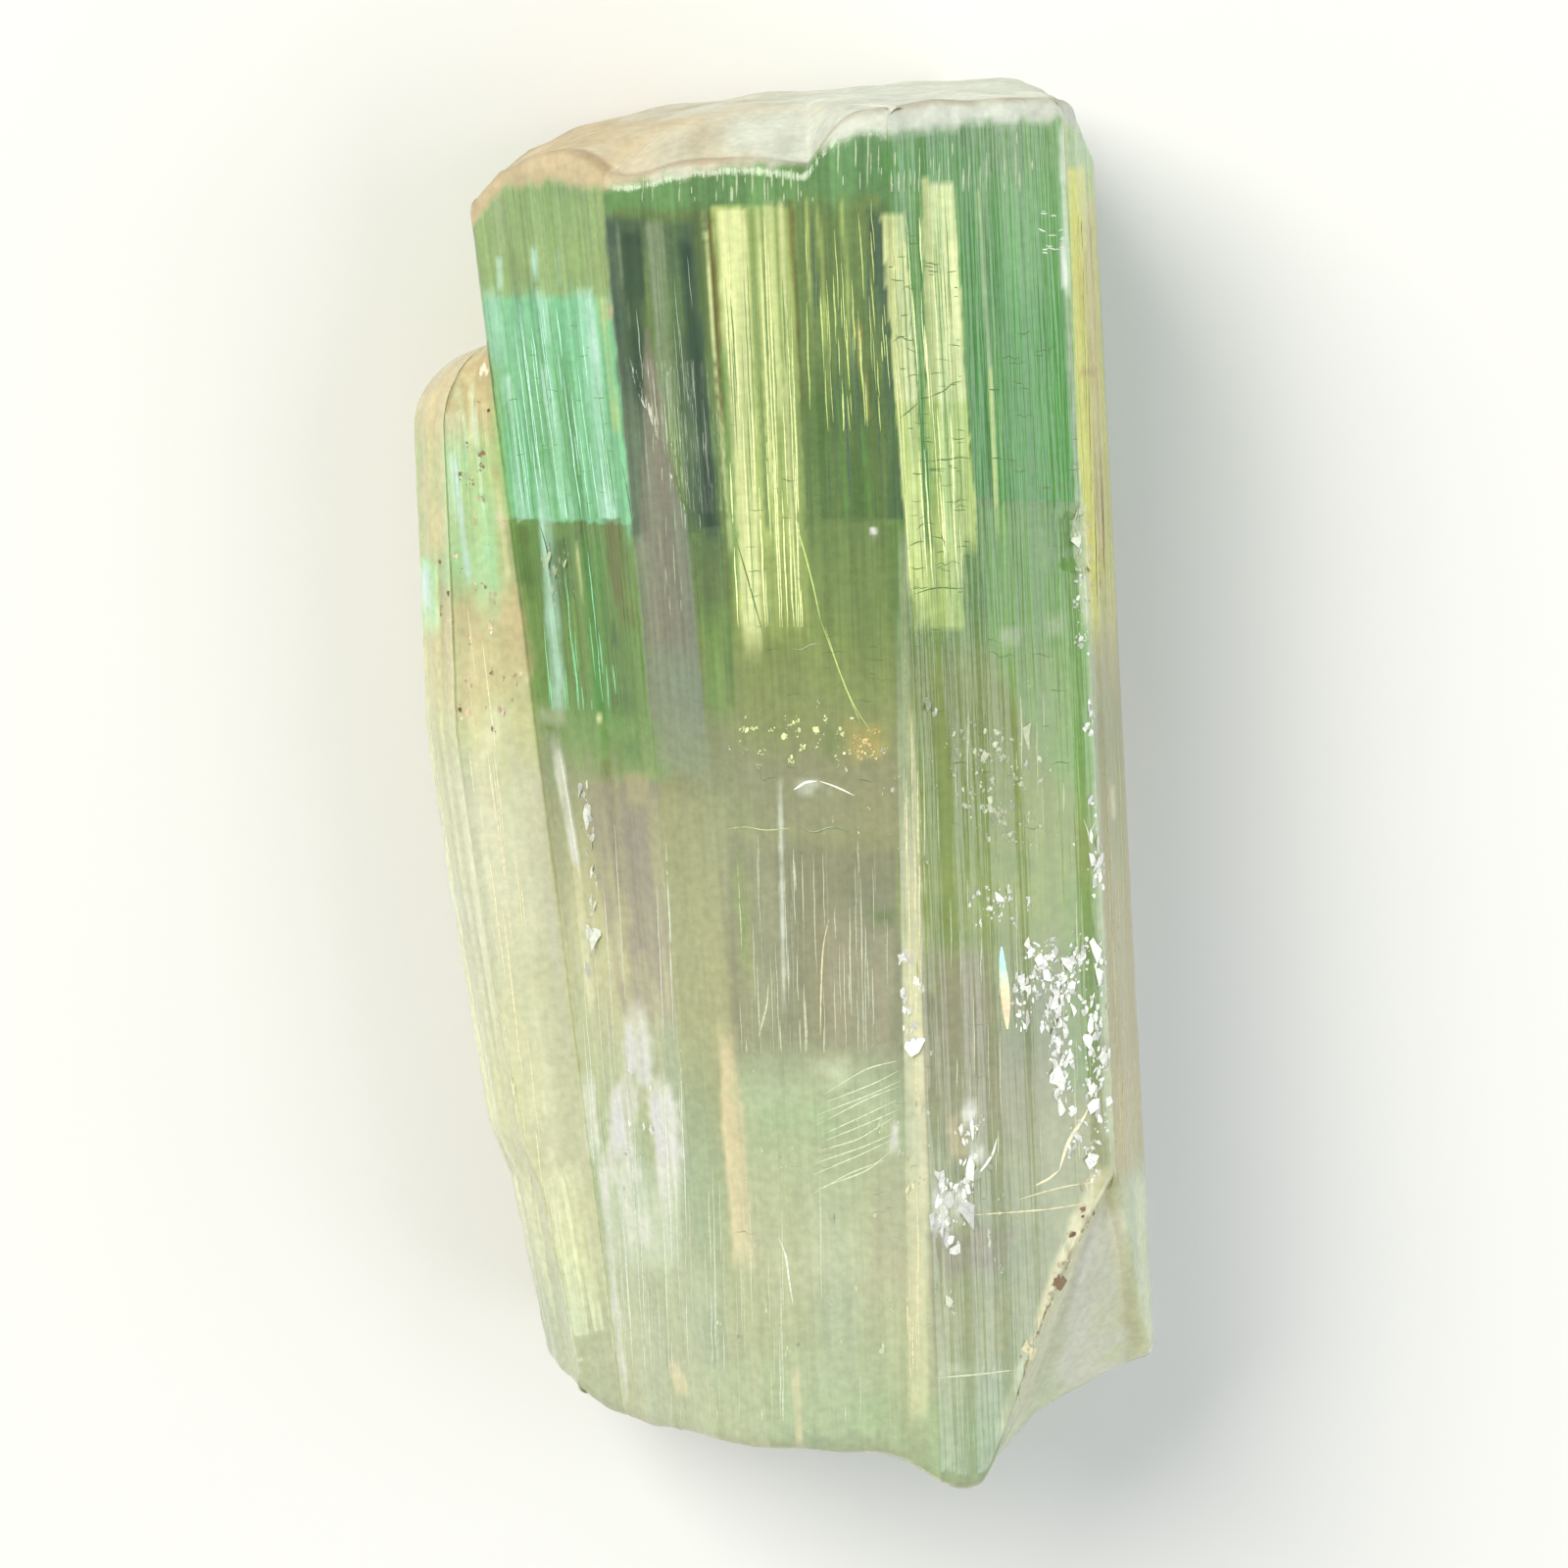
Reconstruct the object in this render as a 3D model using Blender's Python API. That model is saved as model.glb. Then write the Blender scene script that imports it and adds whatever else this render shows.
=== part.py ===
"""A bi-colour tourmaline crystal with a smaller crystal grown along its left flank, lying on its broad back.

X runs across the crystal, +Y along it from the broken base to the flat termination, and +Z up from the
resting face. The origin is under the middle of the crystal, on the surface that it lies on. Working units are
millimetres.
"""

import math

import bpy
import numpy as np

MM = 0.001  # metres in a millimetre

# The prism. Each edge is a straight line, given as (x, z) where it crosses Y = +14 and Y = -14.
EDGE_STATION = 14.0
EDGES = {
    "back_left": ((-4.60, 0.0), (-3.10, 0.0)),
    "left_low": ((-6.85, 2.3), (-5.00, 2.3)),
    "left": ((-7.54, 5.3), (-4.08, 6.5)),
    "front_left": ((-4.15, 9.2), (-1.77, 9.2)),
    "front_wedge": ((-2.84, 9.9), (-0.45, 9.9)),
    "ridge_left": ((2.35, 10.85), (3.00, 10.85)),
    "ridge_right": ((2.45, 11.0), (3.62, 11.0)),
    "front_right": ((6.49, 9.9), (8.10, 9.9)),
    "right": ((7.35, 7.0), (9.02, 7.0)),
    "right_low": ((6.95, 3.0), (8.50, 3.0)),
    "back_right": ((4.60, 0.0), (5.70, 0.0)),
}
WEDGE_TOP, WEDGE_FULL = 10.9, 8.0  # the narrow wedge face opens out between these heights
WEDGE_LEAST = 0.12  # share of its full width that it has above them

# The side crystal. Its outermost edge is given as (y, x); the other edges keep their distance from it.
SIDE_OUTLINE = (
    (9.0, -9.03), (5.0, -8.88), (1.3, -8.78), (-2.6, -8.24), (-8.6, -7.30), (-9.9, -6.78), (-14.3, -5.92)
)
SIDE_EDGES = {  # distance in from the outermost edge, and z, from the top of the section down
    "side_upper": (0.85, 6.05),
    "side_outer": (0.0, 3.9),
    "side_lower": (0.75, 1.3),
    "side_foot": (2.3, 0.35),
}
SIDE_TOP, SIDE_SHOULDER = 10.65, 2.1  # where its rounded top ends, and how long the rounding is

# The termination: sloping planes, each (height at the axis, rise per mm of x, rise per mm of z), a bevel
# broken along its front edge, which stops at BEVEL_END, and a small dent in that edge.
TOP_PLANES = {
    "face": (17.20, 0.055, -0.120),
    "back": (16.60, 0.055, 0.300),
    "left_slope": (17.55, 0.240, -0.120),
    "left_chamfer": (19.40, 0.580, -0.120),
    "left_corner": (26.05, 1.600, -0.060),
    "right_chamfer": (24.15, -1.160, -0.050),
    "right_corner": (36.70, -3.050, -0.050),
}
TOP_BEVEL = (20.30, 0.020, -0.55)
BEVEL_END, BEVEL_STOP_SLOPE = 0.55, 1.6
DENT_X, DENT_Z, DENT_DEPTH, DENT_RADIUS = -3.6, 9.6, 0.75, 1.2

# The broken base. Its lower outline at its widest, as (x, y), with a rounded tooth and a notch to the right.
BASE_OUTLINE = (
    (-7.0, -13.5), (-5.9, -14.5), (-4.3, -15.42), (-2.4, -15.65), (-0.2, -16.05), (2.3, -16.08),
    (3.2, -16.50), (4.2, -17.10), (4.95, -16.70), (6.0, -15.25), (6.9, -14.75), (9.2, -13.72),
)
BASE_BLUR, BLUR_COPIES = 0.32, 7  # how far a bend of that outline is rounded off to either side
BASE_BACK_LEVEL, BASE_BACK_SHARE = -15.3, 0.6  # the base flattens to this height towards the back
BASE_WIDEST_Z, BASE_FRONT_SLOPE, BASE_BACK_SLOPE = 7.0, 0.24, 0.05

# The shell-shaped chip that takes the front right corner off the base.
CHIP_START_X, CHIP_REACH_X, CHIP_LENGTH = 4.6, 7.8, 6.7
CHIP_FLOOR_Z, CHIP_RIM_Z = 6.7, 10.1
CHIP_SPREAD, CHIP_HOLLOW = 1.3, 1.7  # powers: over 1, the hollow is shallow at first and then steepens

SOFTNESS = 0.30  # how far planes round off into each other
RIM_RADIUS = 0.35  # the worn rim round each end

# Undulation of the two end surfaces: its height, and its waves in radians per mm of x and of z.
UNDULATION = 0.07
WAVES = ((1.9, 0.8), (-1.1, 2.3), (3.4, -1.7))
TOP_PHASE, BASE_PHASE = 0.7, 2.1

# Growth ridges that run along the faces: their height, and the widths of the ridges in each of two sizes.
RIDGE_HEIGHT = 0.075
RIDGE_SIZES = ((1.5, 1.0), (0.62, 0.6))  # width, and share of the full height
RIDGE_FADE = 0.3  # share of a ridge's height that comes and goes along the crystal
RIDGE_LENGTH = 9.0  # how far along the crystal it keeps its height
SEED = 11

# How finely the solid is faceted. Rows of points cross the whole crystal between two stations, and follow the
# shape of the ends beyond them.
FACET_WIDTH, CHIP_FACET_WIDTH = 0.80, 0.46
BACK_FACETS = 5
LOWER_STATION, UPPER_STATION = -7.3, 12.6
BASE_STEPS, BODY_STEPS, SHOULDER_STEPS, NECK_STEPS, TOP_STEPS = 10, 15, 8, 2, 3
RIM_ROWS = (0.0, 0.12, 0.45, 1.0)  # shares of the rim's radius
CAP_STEPS, CAP_CROWDING = 8, 1.3  # the crowding draws the rings of an end towards its rim
CAP_CENTRE_X, CAP_CENTRE_Z = 0.4, 5.4
RIM_FADE_POWER = 4  # how soon an end, away from its rim, loses what the growth ridges do to the rim
SETTLING_ROUNDS = 12

CRYSTAL_COLOUR = (0.45, 0.66, 0.36, 1.0)
CRYSTAL_ROUGHNESS = 0.12
CRYSTAL_IOR = 1.63

SIDE_NAMES = tuple(reversed(tuple(SIDE_EDGES)))
RING = ("back_left", *SIDE_NAMES, *tuple(EDGES)[2:])  # clockwise, seen from the base
CHIP_FACES = (RING.index("ridge_right"), RING.index("front_right"))
BACK_FACE = RING.index("back_right")


def clear_scene():
    for obj in list(bpy.data.objects):
        bpy.data.objects.remove(obj, do_unlink=True)


def edge_line(name, y):
    """(x, z) of a straight prism edge at heights y."""
    high, low = EDGES[name]
    share = (EDGE_STATION - y) / (2 * EDGE_STATION)
    return high[0] + (low[0] - high[0]) * share, high[1] + (low[1] - high[1]) * share


def on_flank(y, share):
    """(x, z) on the prism's own left flank: its left edge at share 0, its low edge at 1 and its back at 2."""
    stops = [edge_line(name, y) for name in ("left", "left_low", "back_left")]
    first, past = (0, share) if share <= 1 else (1, share - 1)
    return tuple(a + (b - a) * past for a, b in zip(stops[first], stops[first + 1]))


def side_growth(y):
    """How far the side crystal stands out of the prism's flank, from 0 above it to 1, as a quarter round."""
    depth = np.clip((SIDE_TOP - y) / SIDE_SHOULDER, 0, 1)
    return np.sqrt(1 - (1 - depth) ** 2)


def side_edge(name, y):
    """(x, z) of one of the side crystal's edges. Above its top it lies in the prism's flank."""
    rank = list(SIDE_EDGES).index(name) + 1
    flat_x, flat_z = on_flank(y, 2 * rank / (len(SIDE_EDGES) + 1))
    heights, outline = zip(*reversed(SIDE_OUTLINE))
    inset, z = SIDE_EDGES[name]
    x = np.interp(y, heights, outline) + inset
    growth = side_growth(y)
    return flat_x + (x - flat_x) * growth, flat_z + (z - flat_z) * growth


def wedge_edge(y):
    """(x, z) of the edge that leaves the front left edge where the wedge face opens."""
    opened = np.clip((WEDGE_TOP - y) / (WEDGE_TOP - WEDGE_FULL), WEDGE_LEAST, 1)
    near, far = edge_line("front_left", y), edge_line("front_wedge", y)
    return tuple(a + (b - a) * opened for a, b in zip(near, far))


def corners(y):
    """x and z of every corner of the cross-section, at one height y or at many. The last two axes of the array
    are the corner, and x and z."""
    found = []
    for name in RING:
        if name in SIDE_EDGES:
            x, z = side_edge(name, y)
        elif name == "front_wedge":
            x, z = wedge_edge(y)
        else:
            x, z = edge_line(name, y)
        found.append(np.stack(np.broadcast_arrays(x, z), -1))
    return np.stack(found, -2)


def soft_max(*surfaces):
    """The highest of several surfaces, rounded off where they cross."""
    stack = np.stack(surfaces) / SOFTNESS
    peak = stack.max(0)
    return SOFTNESS * (peak + np.log(np.exp(stack - peak).sum(0)))


def soft_min(*surfaces):
    return -soft_max(*(-s for s in surfaces))


def plane(facts, x, z):
    height, by_x, by_z = facts
    return height + by_x * x + by_z * z


def undulation(x, z, phase):
    """A gentle unevenness of a broken or etched surface, from crossing waves."""
    waves = [np.sin(by_x * x + by_z * z + phase * k) for k, (by_x, by_z) in enumerate(WAVES)]
    return UNDULATION * sum(waves) / len(waves)


def smooth_line(x, stops, blur):
    """A line through stops (x, y) with its bends rounded off, as the mean of shifted copies of it."""
    stop_x, stop_y = zip(*stops)
    shifts = np.linspace(-blur, blur, BLUR_COPIES)
    return sum(np.interp(x + shift, stop_x, stop_y) for shift in shifts) / len(shifts)


def termination(x, z):
    """Height of the top end over the point (x, z) of the cross-section."""
    bevel = plane(TOP_BEVEL, x, z) + BEVEL_STOP_SLOPE * np.maximum(0, x - BEVEL_END)
    faces = soft_min(*(plane(facts, x, z) for facts in TOP_PLANES.values()), bevel)
    dent = DENT_DEPTH * np.exp(-((x - DENT_X) ** 2 + (z - DENT_Z) ** 2) / DENT_RADIUS**2)
    return faces - dent + undulation(x, z, TOP_PHASE)


def chip(x, z):
    """How much higher the chip lifts the base: a hollow that deepens to the right and to the front."""
    across = np.maximum(0, x - CHIP_START_X) / (CHIP_REACH_X - CHIP_START_X)
    forward = np.maximum(0, z - CHIP_FLOOR_Z) / (CHIP_RIM_Z - CHIP_FLOOR_Z)
    return CHIP_LENGTH * across**CHIP_SPREAD * forward**CHIP_HOLLOW


def broken_base(x, z):
    """Height of the bottom end over the point (x, z) of the cross-section."""
    outline = smooth_line(x, BASE_OUTLINE, BASE_BLUR)
    backward = BASE_BACK_SHARE * np.clip((BASE_WIDEST_Z - z) / BASE_WIDEST_Z, 0, 1) ** 2
    rim = outline + (np.maximum(outline, BASE_BACK_LEVEL) - outline) * backward
    off_widest = z - BASE_WIDEST_Z
    slope = np.where(off_widest > 0, BASE_FRONT_SLOPE * off_widest, -BASE_BACK_SLOPE * off_widest)
    return rim + slope + undulation(x, z, BASE_PHASE) + chip(x, z)


def face_widths():
    """The width of every face of the prism, half way up it."""
    middle = corners(0.0)
    return np.linalg.norm(np.roll(middle, -1, 0) - middle, axis=1)


def columns():
    """Which face each column of the mesh lies on and how far across it, spaced evenly over every face."""
    face, share = [], []
    for k, width in enumerate(face_widths()):
        steps = round(width / (CHIP_FACET_WIDTH if k in CHIP_FACES else FACET_WIDTH))
        steps = BACK_FACETS if k == BACK_FACE else max(1, steps)
        face += [k] * steps
        share += [i / steps for i in range(steps)]
    return np.array(face), np.array(share)


def square_to(run):
    """Unit vectors in the cross-section that point out of the faces which run that way."""
    return np.stack([-run[:, 1], run[:, 0]], -1) / np.linalg.norm(run, axis=1)[:, None]


def outline_point(face, share, y):
    """Points (x, z) of the cross-section's outline, one for each column at that column's height y, and the
    way out of the crystal there: square to the face, or mitred on a corner."""
    ring = corners(y)
    pick = np.arange(len(face))
    before, start, end = (ring[pick, (face + step) % len(RING)] for step in (-1, 0, 1))
    out, out_before = square_to(end - start), square_to(start - before)
    mitre = (out + out_before) / (1 + (out * out_before).sum(-1, keepdims=True))
    return start + (end - start) * share[:, None], np.where(share[:, None] == 0, mitre, out)


def ridges(face, share, y):
    """Height of the growth ridges: seeded steps across each face that fade in and out along it."""
    seeds = np.random.default_rng(SEED)
    widths = face_widths()
    distance = share * widths[face] + np.concatenate([[0], np.cumsum(widths)])[face]
    height = np.zeros(y.shape)
    for width, weight in RIDGE_SIZES:
        count = math.ceil(widths.sum() / width) + 1
        levels, shifts = seeds.uniform(-1, 1, count), seeds.uniform(0, 2 * math.pi, count)
        cell = distance / width
        low = cell.astype(int)
        blend = cell - low
        blend = blend * blend * (3 - 2 * blend)
        for cells, part in ((low, 1 - blend), (low + 1, blend)):
            swell = 1 - RIDGE_FADE + RIDGE_FADE * np.sin(y / RIDGE_LENGTH + shifts[cells])
            height += weight * part * levels[cells] * swell
    flat = (face == BACK_FACE) | (share == 0)
    return np.where(flat, 0.0, RIDGE_HEIGHT * height)


def end_heights(surface, face, share, start):
    """The height at which each column's rim meets an end surface, found by repetition as the prism tapers."""
    y = np.full(len(face), start)
    for _ in range(SETTLING_ROUNDS):
        point, outward = outline_point(face, share, y)
        rim = point - outward * RIM_RADIUS
        y = surface(rim[:, 0], rim[:, 1])
    return y


def body_stations():
    """Heights of the rows that cross the whole crystal, closer together on the side crystal's shoulder."""
    shoulder_foot = SIDE_TOP - SIDE_SHOULDER
    turn = np.linspace(0, math.pi / 2, SHOULDER_STEPS + 1)
    return np.concatenate(
        [
            np.linspace(LOWER_STATION, shoulder_foot, BODY_STEPS + 1),
            (shoulder_foot + SIDE_SHOULDER * np.sin(turn))[1:],
            np.linspace(SIDE_TOP, UPPER_STATION, NECK_STEPS + 1)[1:],
        ]
    )


def rim_inset(distance):
    """How far a quarter-round rim stands in from the side at a distance from the end."""
    left = np.clip(RIM_RADIUS - distance, 0, RIM_RADIUS)
    return RIM_RADIUS - np.sqrt(RIM_RADIUS**2 - left**2)


def row_heights(low, high):
    """Heights of every row, for columns that run from low to high: rims, ends and the stations between."""
    rim = np.array(RIM_ROWS)[:, None] * RIM_RADIUS
    inner_low, inner_high = low + RIM_RADIUS, high - RIM_RADIUS
    up = np.linspace(0, 1, BASE_STEPS + 1)[1:-1, None]
    on = np.linspace(0, 1, TOP_STEPS + 1)[1:-1, None]
    stations = body_stations()[:, None] + np.zeros_like(low)
    return np.concatenate(
        [
            low + rim,
            inner_low + (LOWER_STATION - inner_low) * up,
            stations,
            UPPER_STATION + (inner_high - UPPER_STATION) * on,
            high - rim[::-1],
        ]
    )


def side_rings(face, share):
    """The rings of points up the sides of the crystal, from the base's rim to the termination's."""
    low = end_heights(broken_base, face, share, -EDGE_STATION)
    high = end_heights(termination, face, share, EDGE_STATION)
    rings = []
    for heights in row_heights(low, high):
        point, outward = outline_point(face, share, heights)
        inset = rim_inset(heights - low) + rim_inset(high - heights)
        point = point + outward * (ridges(face, share, heights) - inset)[:, None]
        rings.append(np.stack([point[:, 0], heights, point[:, 1]], -1))
    return rings


def cap_rings(rim, surface):
    """Rings from a rim towards the middle of an end surface, then the point at the middle."""
    centre = np.array([CAP_CENTRE_X, CAP_CENTRE_Z])
    rings = []
    lift = rim[:, 1] - surface(rim[:, 0], rim[:, 2])
    for step in range(1, CAP_STEPS):
        scale = 1 - (step / CAP_STEPS) ** CAP_CROWDING
        point = centre + (rim[:, [0, 2]] - centre) * scale
        height = surface(point[:, 0], point[:, 1]) + lift * scale**RIM_FADE_POWER
        rings.append(np.stack([point[:, 0], height, point[:, 1]], -1))
    top = np.array([centre[0], surface(*centre), centre[1]])
    return rings, top


def crystal_mesh():
    """The closed surface: an end point, rings out over the base, up the sides and in over the termination."""
    face, share = columns()
    sides = side_rings(face, share)
    base, base_point = cap_rings(sides[0], broken_base)
    top, top_point = cap_rings(sides[-1], termination)
    rings = [*reversed(base), *sides, *top]
    count = len(face)
    points = np.concatenate([[base_point], *rings, [top_point]])
    faces = []
    for k in range(count):
        after = (k + 1) % count
        faces.append((0, 1 + after, 1 + k))
        for ring in range(len(rings) - 1):
            low, high = 1 + ring * count, 1 + (ring + 1) * count
            faces.append((low + k, low + after, high + after, high + k))
        last = 1 + (len(rings) - 1) * count
        faces.append((last + k, last + after, len(points) - 1))
    return points, faces


def centred(points):
    """The points moved sideways so that the origin is under the middle of the crystal."""
    middle = (points.min(0) + points.max(0)) / 2
    return points - np.array([middle[0], middle[1], 0.0])


def tourmaline():
    material = bpy.data.materials.new("tourmaline")
    material.use_nodes = True
    shader = material.node_tree.nodes["Principled BSDF"]
    shader.inputs["Base Color"].default_value = CRYSTAL_COLOUR
    shader.inputs["Metallic"].default_value = 0.0
    shader.inputs["Roughness"].default_value = CRYSTAL_ROUGHNESS
    shader.inputs["IOR"].default_value = CRYSTAL_IOR
    shader.inputs["Transmission Weight"].default_value = 1.0
    return material


def main():
    clear_scene()
    points, faces = crystal_mesh()
    mesh = bpy.data.meshes.new("crystal")
    mesh.from_pydata((centred(points) * MM).tolist(), [], faces)
    mesh.materials.append(tourmaline())
    mesh.validate()
    bpy.context.scene.collection.objects.link(bpy.data.objects.new("crystal", mesh))


main()
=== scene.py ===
"""Looks of the bi-colour tourmaline crystal: its finely grooved skin, its colour zones, and the flaws inside it.

The crystal lies on its broad back, along Y, with its flat frosted end at +Y. Lengths are in millimetres until a
mesh is made.
"""

import math

import bpy
import numpy as np
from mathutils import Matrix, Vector


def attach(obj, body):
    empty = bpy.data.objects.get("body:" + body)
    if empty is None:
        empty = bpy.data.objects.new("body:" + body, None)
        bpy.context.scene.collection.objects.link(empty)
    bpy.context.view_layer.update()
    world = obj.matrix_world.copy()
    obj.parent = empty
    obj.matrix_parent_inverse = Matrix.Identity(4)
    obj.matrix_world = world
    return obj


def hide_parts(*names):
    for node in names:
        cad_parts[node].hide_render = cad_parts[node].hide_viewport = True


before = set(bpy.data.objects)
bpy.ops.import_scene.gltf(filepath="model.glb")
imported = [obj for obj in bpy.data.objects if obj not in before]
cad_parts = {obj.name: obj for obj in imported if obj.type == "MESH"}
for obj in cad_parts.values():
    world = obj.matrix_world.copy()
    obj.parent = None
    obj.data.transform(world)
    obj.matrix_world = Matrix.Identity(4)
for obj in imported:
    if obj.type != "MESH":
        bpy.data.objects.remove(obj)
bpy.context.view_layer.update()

# The crystal. A bi-colour tourmaline, green at the flat end and nearly colourless at the broken one, with a
# smaller crystal grown along its left flank. It grew as one piece in a pocket: flat faces grooved lengthwise, a
# frosted end, and a base with a shell-shaped chip where it was broken from the rock.

MM = 0.001  # metres in a millimetre

# The prism. Each edge is a straight line, given as (x, z) where it crosses Y = +14 and Y = -14.
EDGE_STATION = 14.0
EDGES = {
    "back_left": ((-4.60, 0.0), (-3.10, 0.0)),
    "left_low": ((-6.85, 2.3), (-5.00, 2.3)),
    "left": ((-7.54, 5.3), (-4.08, 6.5)),
    "front_left": ((-4.15, 9.2), (-1.77, 9.2)),
    "front_wedge": ((-2.84, 9.9), (-0.45, 9.9)),
    "ridge_left": ((2.35, 10.85), (3.00, 10.85)),
    "ridge_right": ((2.45, 11.0), (3.62, 11.0)),
    "front_right": ((6.49, 9.9), (8.10, 9.9)),
    "right": ((7.35, 7.0), (9.02, 7.0)),
    "right_low": ((6.95, 3.0), (8.50, 3.0)),
    "back_right": ((4.60, 0.0), (5.70, 0.0)),
}
WEDGE_TOP, WEDGE_FULL = 10.9, 6.7  # the narrow wedge face opens out between these heights
WEDGE_LEAST = 0.12  # share of its full width that it has above them

# The side crystal. Its outermost edge is given as (y, x); the other edges keep their distance from it.
SIDE_OUTLINE = (
    (9.0, -9.03), (5.0, -8.88), (1.3, -8.78), (-2.6, -8.24), (-8.6, -7.30), (-9.9, -6.78), (-14.3, -5.92)
)
SIDE_EDGES = {  # distance in from the outermost edge, and z, from the top of the section down
    "side_upper": (0.85, 6.05),
    "side_outer": (0.0, 3.9),
    "side_lower": (0.75, 1.3),
    "side_foot": (2.3, 0.35),
}
SIDE_TOP, SIDE_SHOULDER = 10.65, 2.1  # where its rounded top ends, and how long the rounding is

# The flat end: sloping planes, each (height at the axis, rise per mm of x, rise per mm of z), a bevel broken
# along its front edge, which stops at BEVEL_END, and a small dent in that edge.
TOP_PLANES = {
    "face": (17.20, 0.055, -0.120),
    "back": (16.60, 0.055, 0.300),
    "left_slope": (17.55, 0.240, -0.120),
    "left_chamfer": (19.40, 0.580, -0.120),
    "left_corner": (26.05, 1.600, -0.060),
    "right_chamfer": (24.15, -1.160, -0.050),
    "right_corner": (36.70, -3.050, -0.050),
}
TOP_BEVEL = (20.30, 0.020, -0.55)
BEVEL_END, BEVEL_STOP_SLOPE = 0.55, 1.6
DENT_X, DENT_Z, DENT_DEPTH, DENT_RADIUS = -3.6, 9.6, 0.75, 1.2

# The broken base. Its lower outline at its widest, as (x, y), with a rounded tooth and a notch to the right.
BASE_OUTLINE = (
    (-7.0, -13.5), (-5.9, -14.5), (-4.3, -15.42), (-2.4, -15.65), (-0.2, -16.05), (2.3, -16.08),
    (3.2, -16.50), (4.2, -17.10), (4.95, -16.70), (6.0, -15.25), (6.9, -14.75), (9.2, -13.72),
)
BASE_BLUR, BLUR_COPIES = 0.32, 7  # how far a bend of that outline is rounded off to either side
BASE_BACK_LEVEL, BASE_BACK_SHARE = -15.3, 0.6  # the base flattens to this height towards the back
BASE_WIDEST_Z, BASE_FRONT_SLOPE, BASE_BACK_SLOPE = 7.0, 0.24, 0.05

# The shell-shaped chip that takes the front right corner off the base.
CHIP_START_X, CHIP_REACH_X, CHIP_LENGTH = 4.6, 7.8, 6.7
CHIP_FLOOR_Z, CHIP_RIM_Z = 6.7, 10.1
CHIP_SPREAD, CHIP_HOLLOW = 1.3, 1.7  # powers: over 1, the hollow is shallow at first and then steepens

SOFTNESS = 0.30  # how far planes round off into each other
RIM_RADIUS = 0.35  # the worn rim round each end
UNDULATION = 0.07  # unevenness of the two ends
WAVES = ((1.9, 0.8), (-1.1, 2.3), (3.4, -1.7))  # in radians per mm of x and of z
TOP_PHASE, BASE_PHASE = 0.7, 2.1

# Growth grooves along the faces, in four sizes: the width of a groove or ridge, and its height.
GROOVES = ((1.5, 0.075), (0.62, 0.045))
FINE_GROOVES = ((0.34, 0.016), (0.17, 0.010))
GROOVE_FADE, GROOVE_LENGTH = 0.3, 9.0  # share of a height that comes and goes, and over what length
GROOVE_SEED, FINE_SEED = 11, 23

# Wear: a bite out of the right front edge, and small nicks along the edges.
BITE_Y, BITE_REACH, BITE_WIDTH, BITE_DEPTH = 6.2, 0.65, 0.55, 0.22
NICK_DEPTH, NICK_WIDTH, NICK_LENGTH = 0.05, 0.16, 0.35

# How finely the skin is divided, in mm: across each face of the ring, and along the crystal.
FACE_STEPS = (0.40, 0.35, 0.18, 0.10, 0.075, 0.064, 0.056, 0.056, 0.056, 0.056, 0.10, 0.20, 0.28, 0.50)
LOWER_STATION, UPPER_STATION = -7.3, 12.6  # rows are level between these, and follow the ends beyond them
ROW_STEP = 0.185
CUT_ROWS = (6.34, 6.40, 6.44, 6.50, 6.55, 6.60, 6.64, 6.68, 6.72, 7.03, 7.08)  # rows where colours stop short
RIM_ROWS = (0.0, 0.08, 0.25, 0.5, 1.0)  # shares of the rim's radius
CAP_STEPS, CAP_CROWDING = 15, 1.35
CAP_CENTRE_X, CAP_CENTRE_Z = 0.4, 5.4
RIM_FADE_POWER = 4
SETTLING_ROUNDS = 12

SIDE_NAMES = tuple(reversed(tuple(SIDE_EDGES)))
RING = ("back_left", *SIDE_NAMES, *tuple(EDGES)[2:])  # clockwise, seen from the base
FACE = {name: number for number, name in enumerate(RING)}  # a face is named for the edge that it starts at


def edge_line(name, y):
    """(x, z) of a straight prism edge at heights y: a straight line between its two stations."""
    high, low = EDGES[name]
    share = (EDGE_STATION - y) / (2 * EDGE_STATION)
    return high[0] + (low[0] - high[0]) * share, high[1] + (low[1] - high[1]) * share


def on_flank(y, share):
    """(x, z) on the prism's own left flank: its left edge at share 0, its low edge at 1 and its back at 2."""
    stops = [edge_line(name, y) for name in ("left", "left_low", "back_left")]
    first, past = (0, share) if share <= 1 else (1, share - 1)
    return tuple(a + (b - a) * past for a, b in zip(stops[first], stops[first + 1]))


def side_growth(y):
    """How far the side crystal stands out of the prism's flank, from 0 above it to 1, as a quarter round."""
    depth = np.clip((SIDE_TOP - y) / SIDE_SHOULDER, 0, 1)
    return np.sqrt(1 - (1 - depth) ** 2)


def side_edge(name, y):
    """(x, z) of one of the side crystal's edges: its outline moved in, or the prism's flank above its top."""
    rank = list(SIDE_EDGES).index(name) + 1
    flat_x, flat_z = on_flank(y, 2 * rank / (len(SIDE_EDGES) + 1))
    heights, outline = zip(*reversed(SIDE_OUTLINE))
    inset, z = SIDE_EDGES[name]
    x = np.interp(y, heights, outline) + inset
    growth = side_growth(y)
    return flat_x + (x - flat_x) * growth, flat_z + (z - flat_z) * growth


def wedge_edge(y):
    """(x, z) of the edge that leaves the front left edge where the wedge face opens."""
    opened = np.clip((WEDGE_TOP - y) / (WEDGE_TOP - WEDGE_FULL), WEDGE_LEAST, 1)
    near, far = edge_line("front_left", y), edge_line("front_wedge", y)
    return tuple(a + (b - a) * opened for a, b in zip(near, far))


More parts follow.
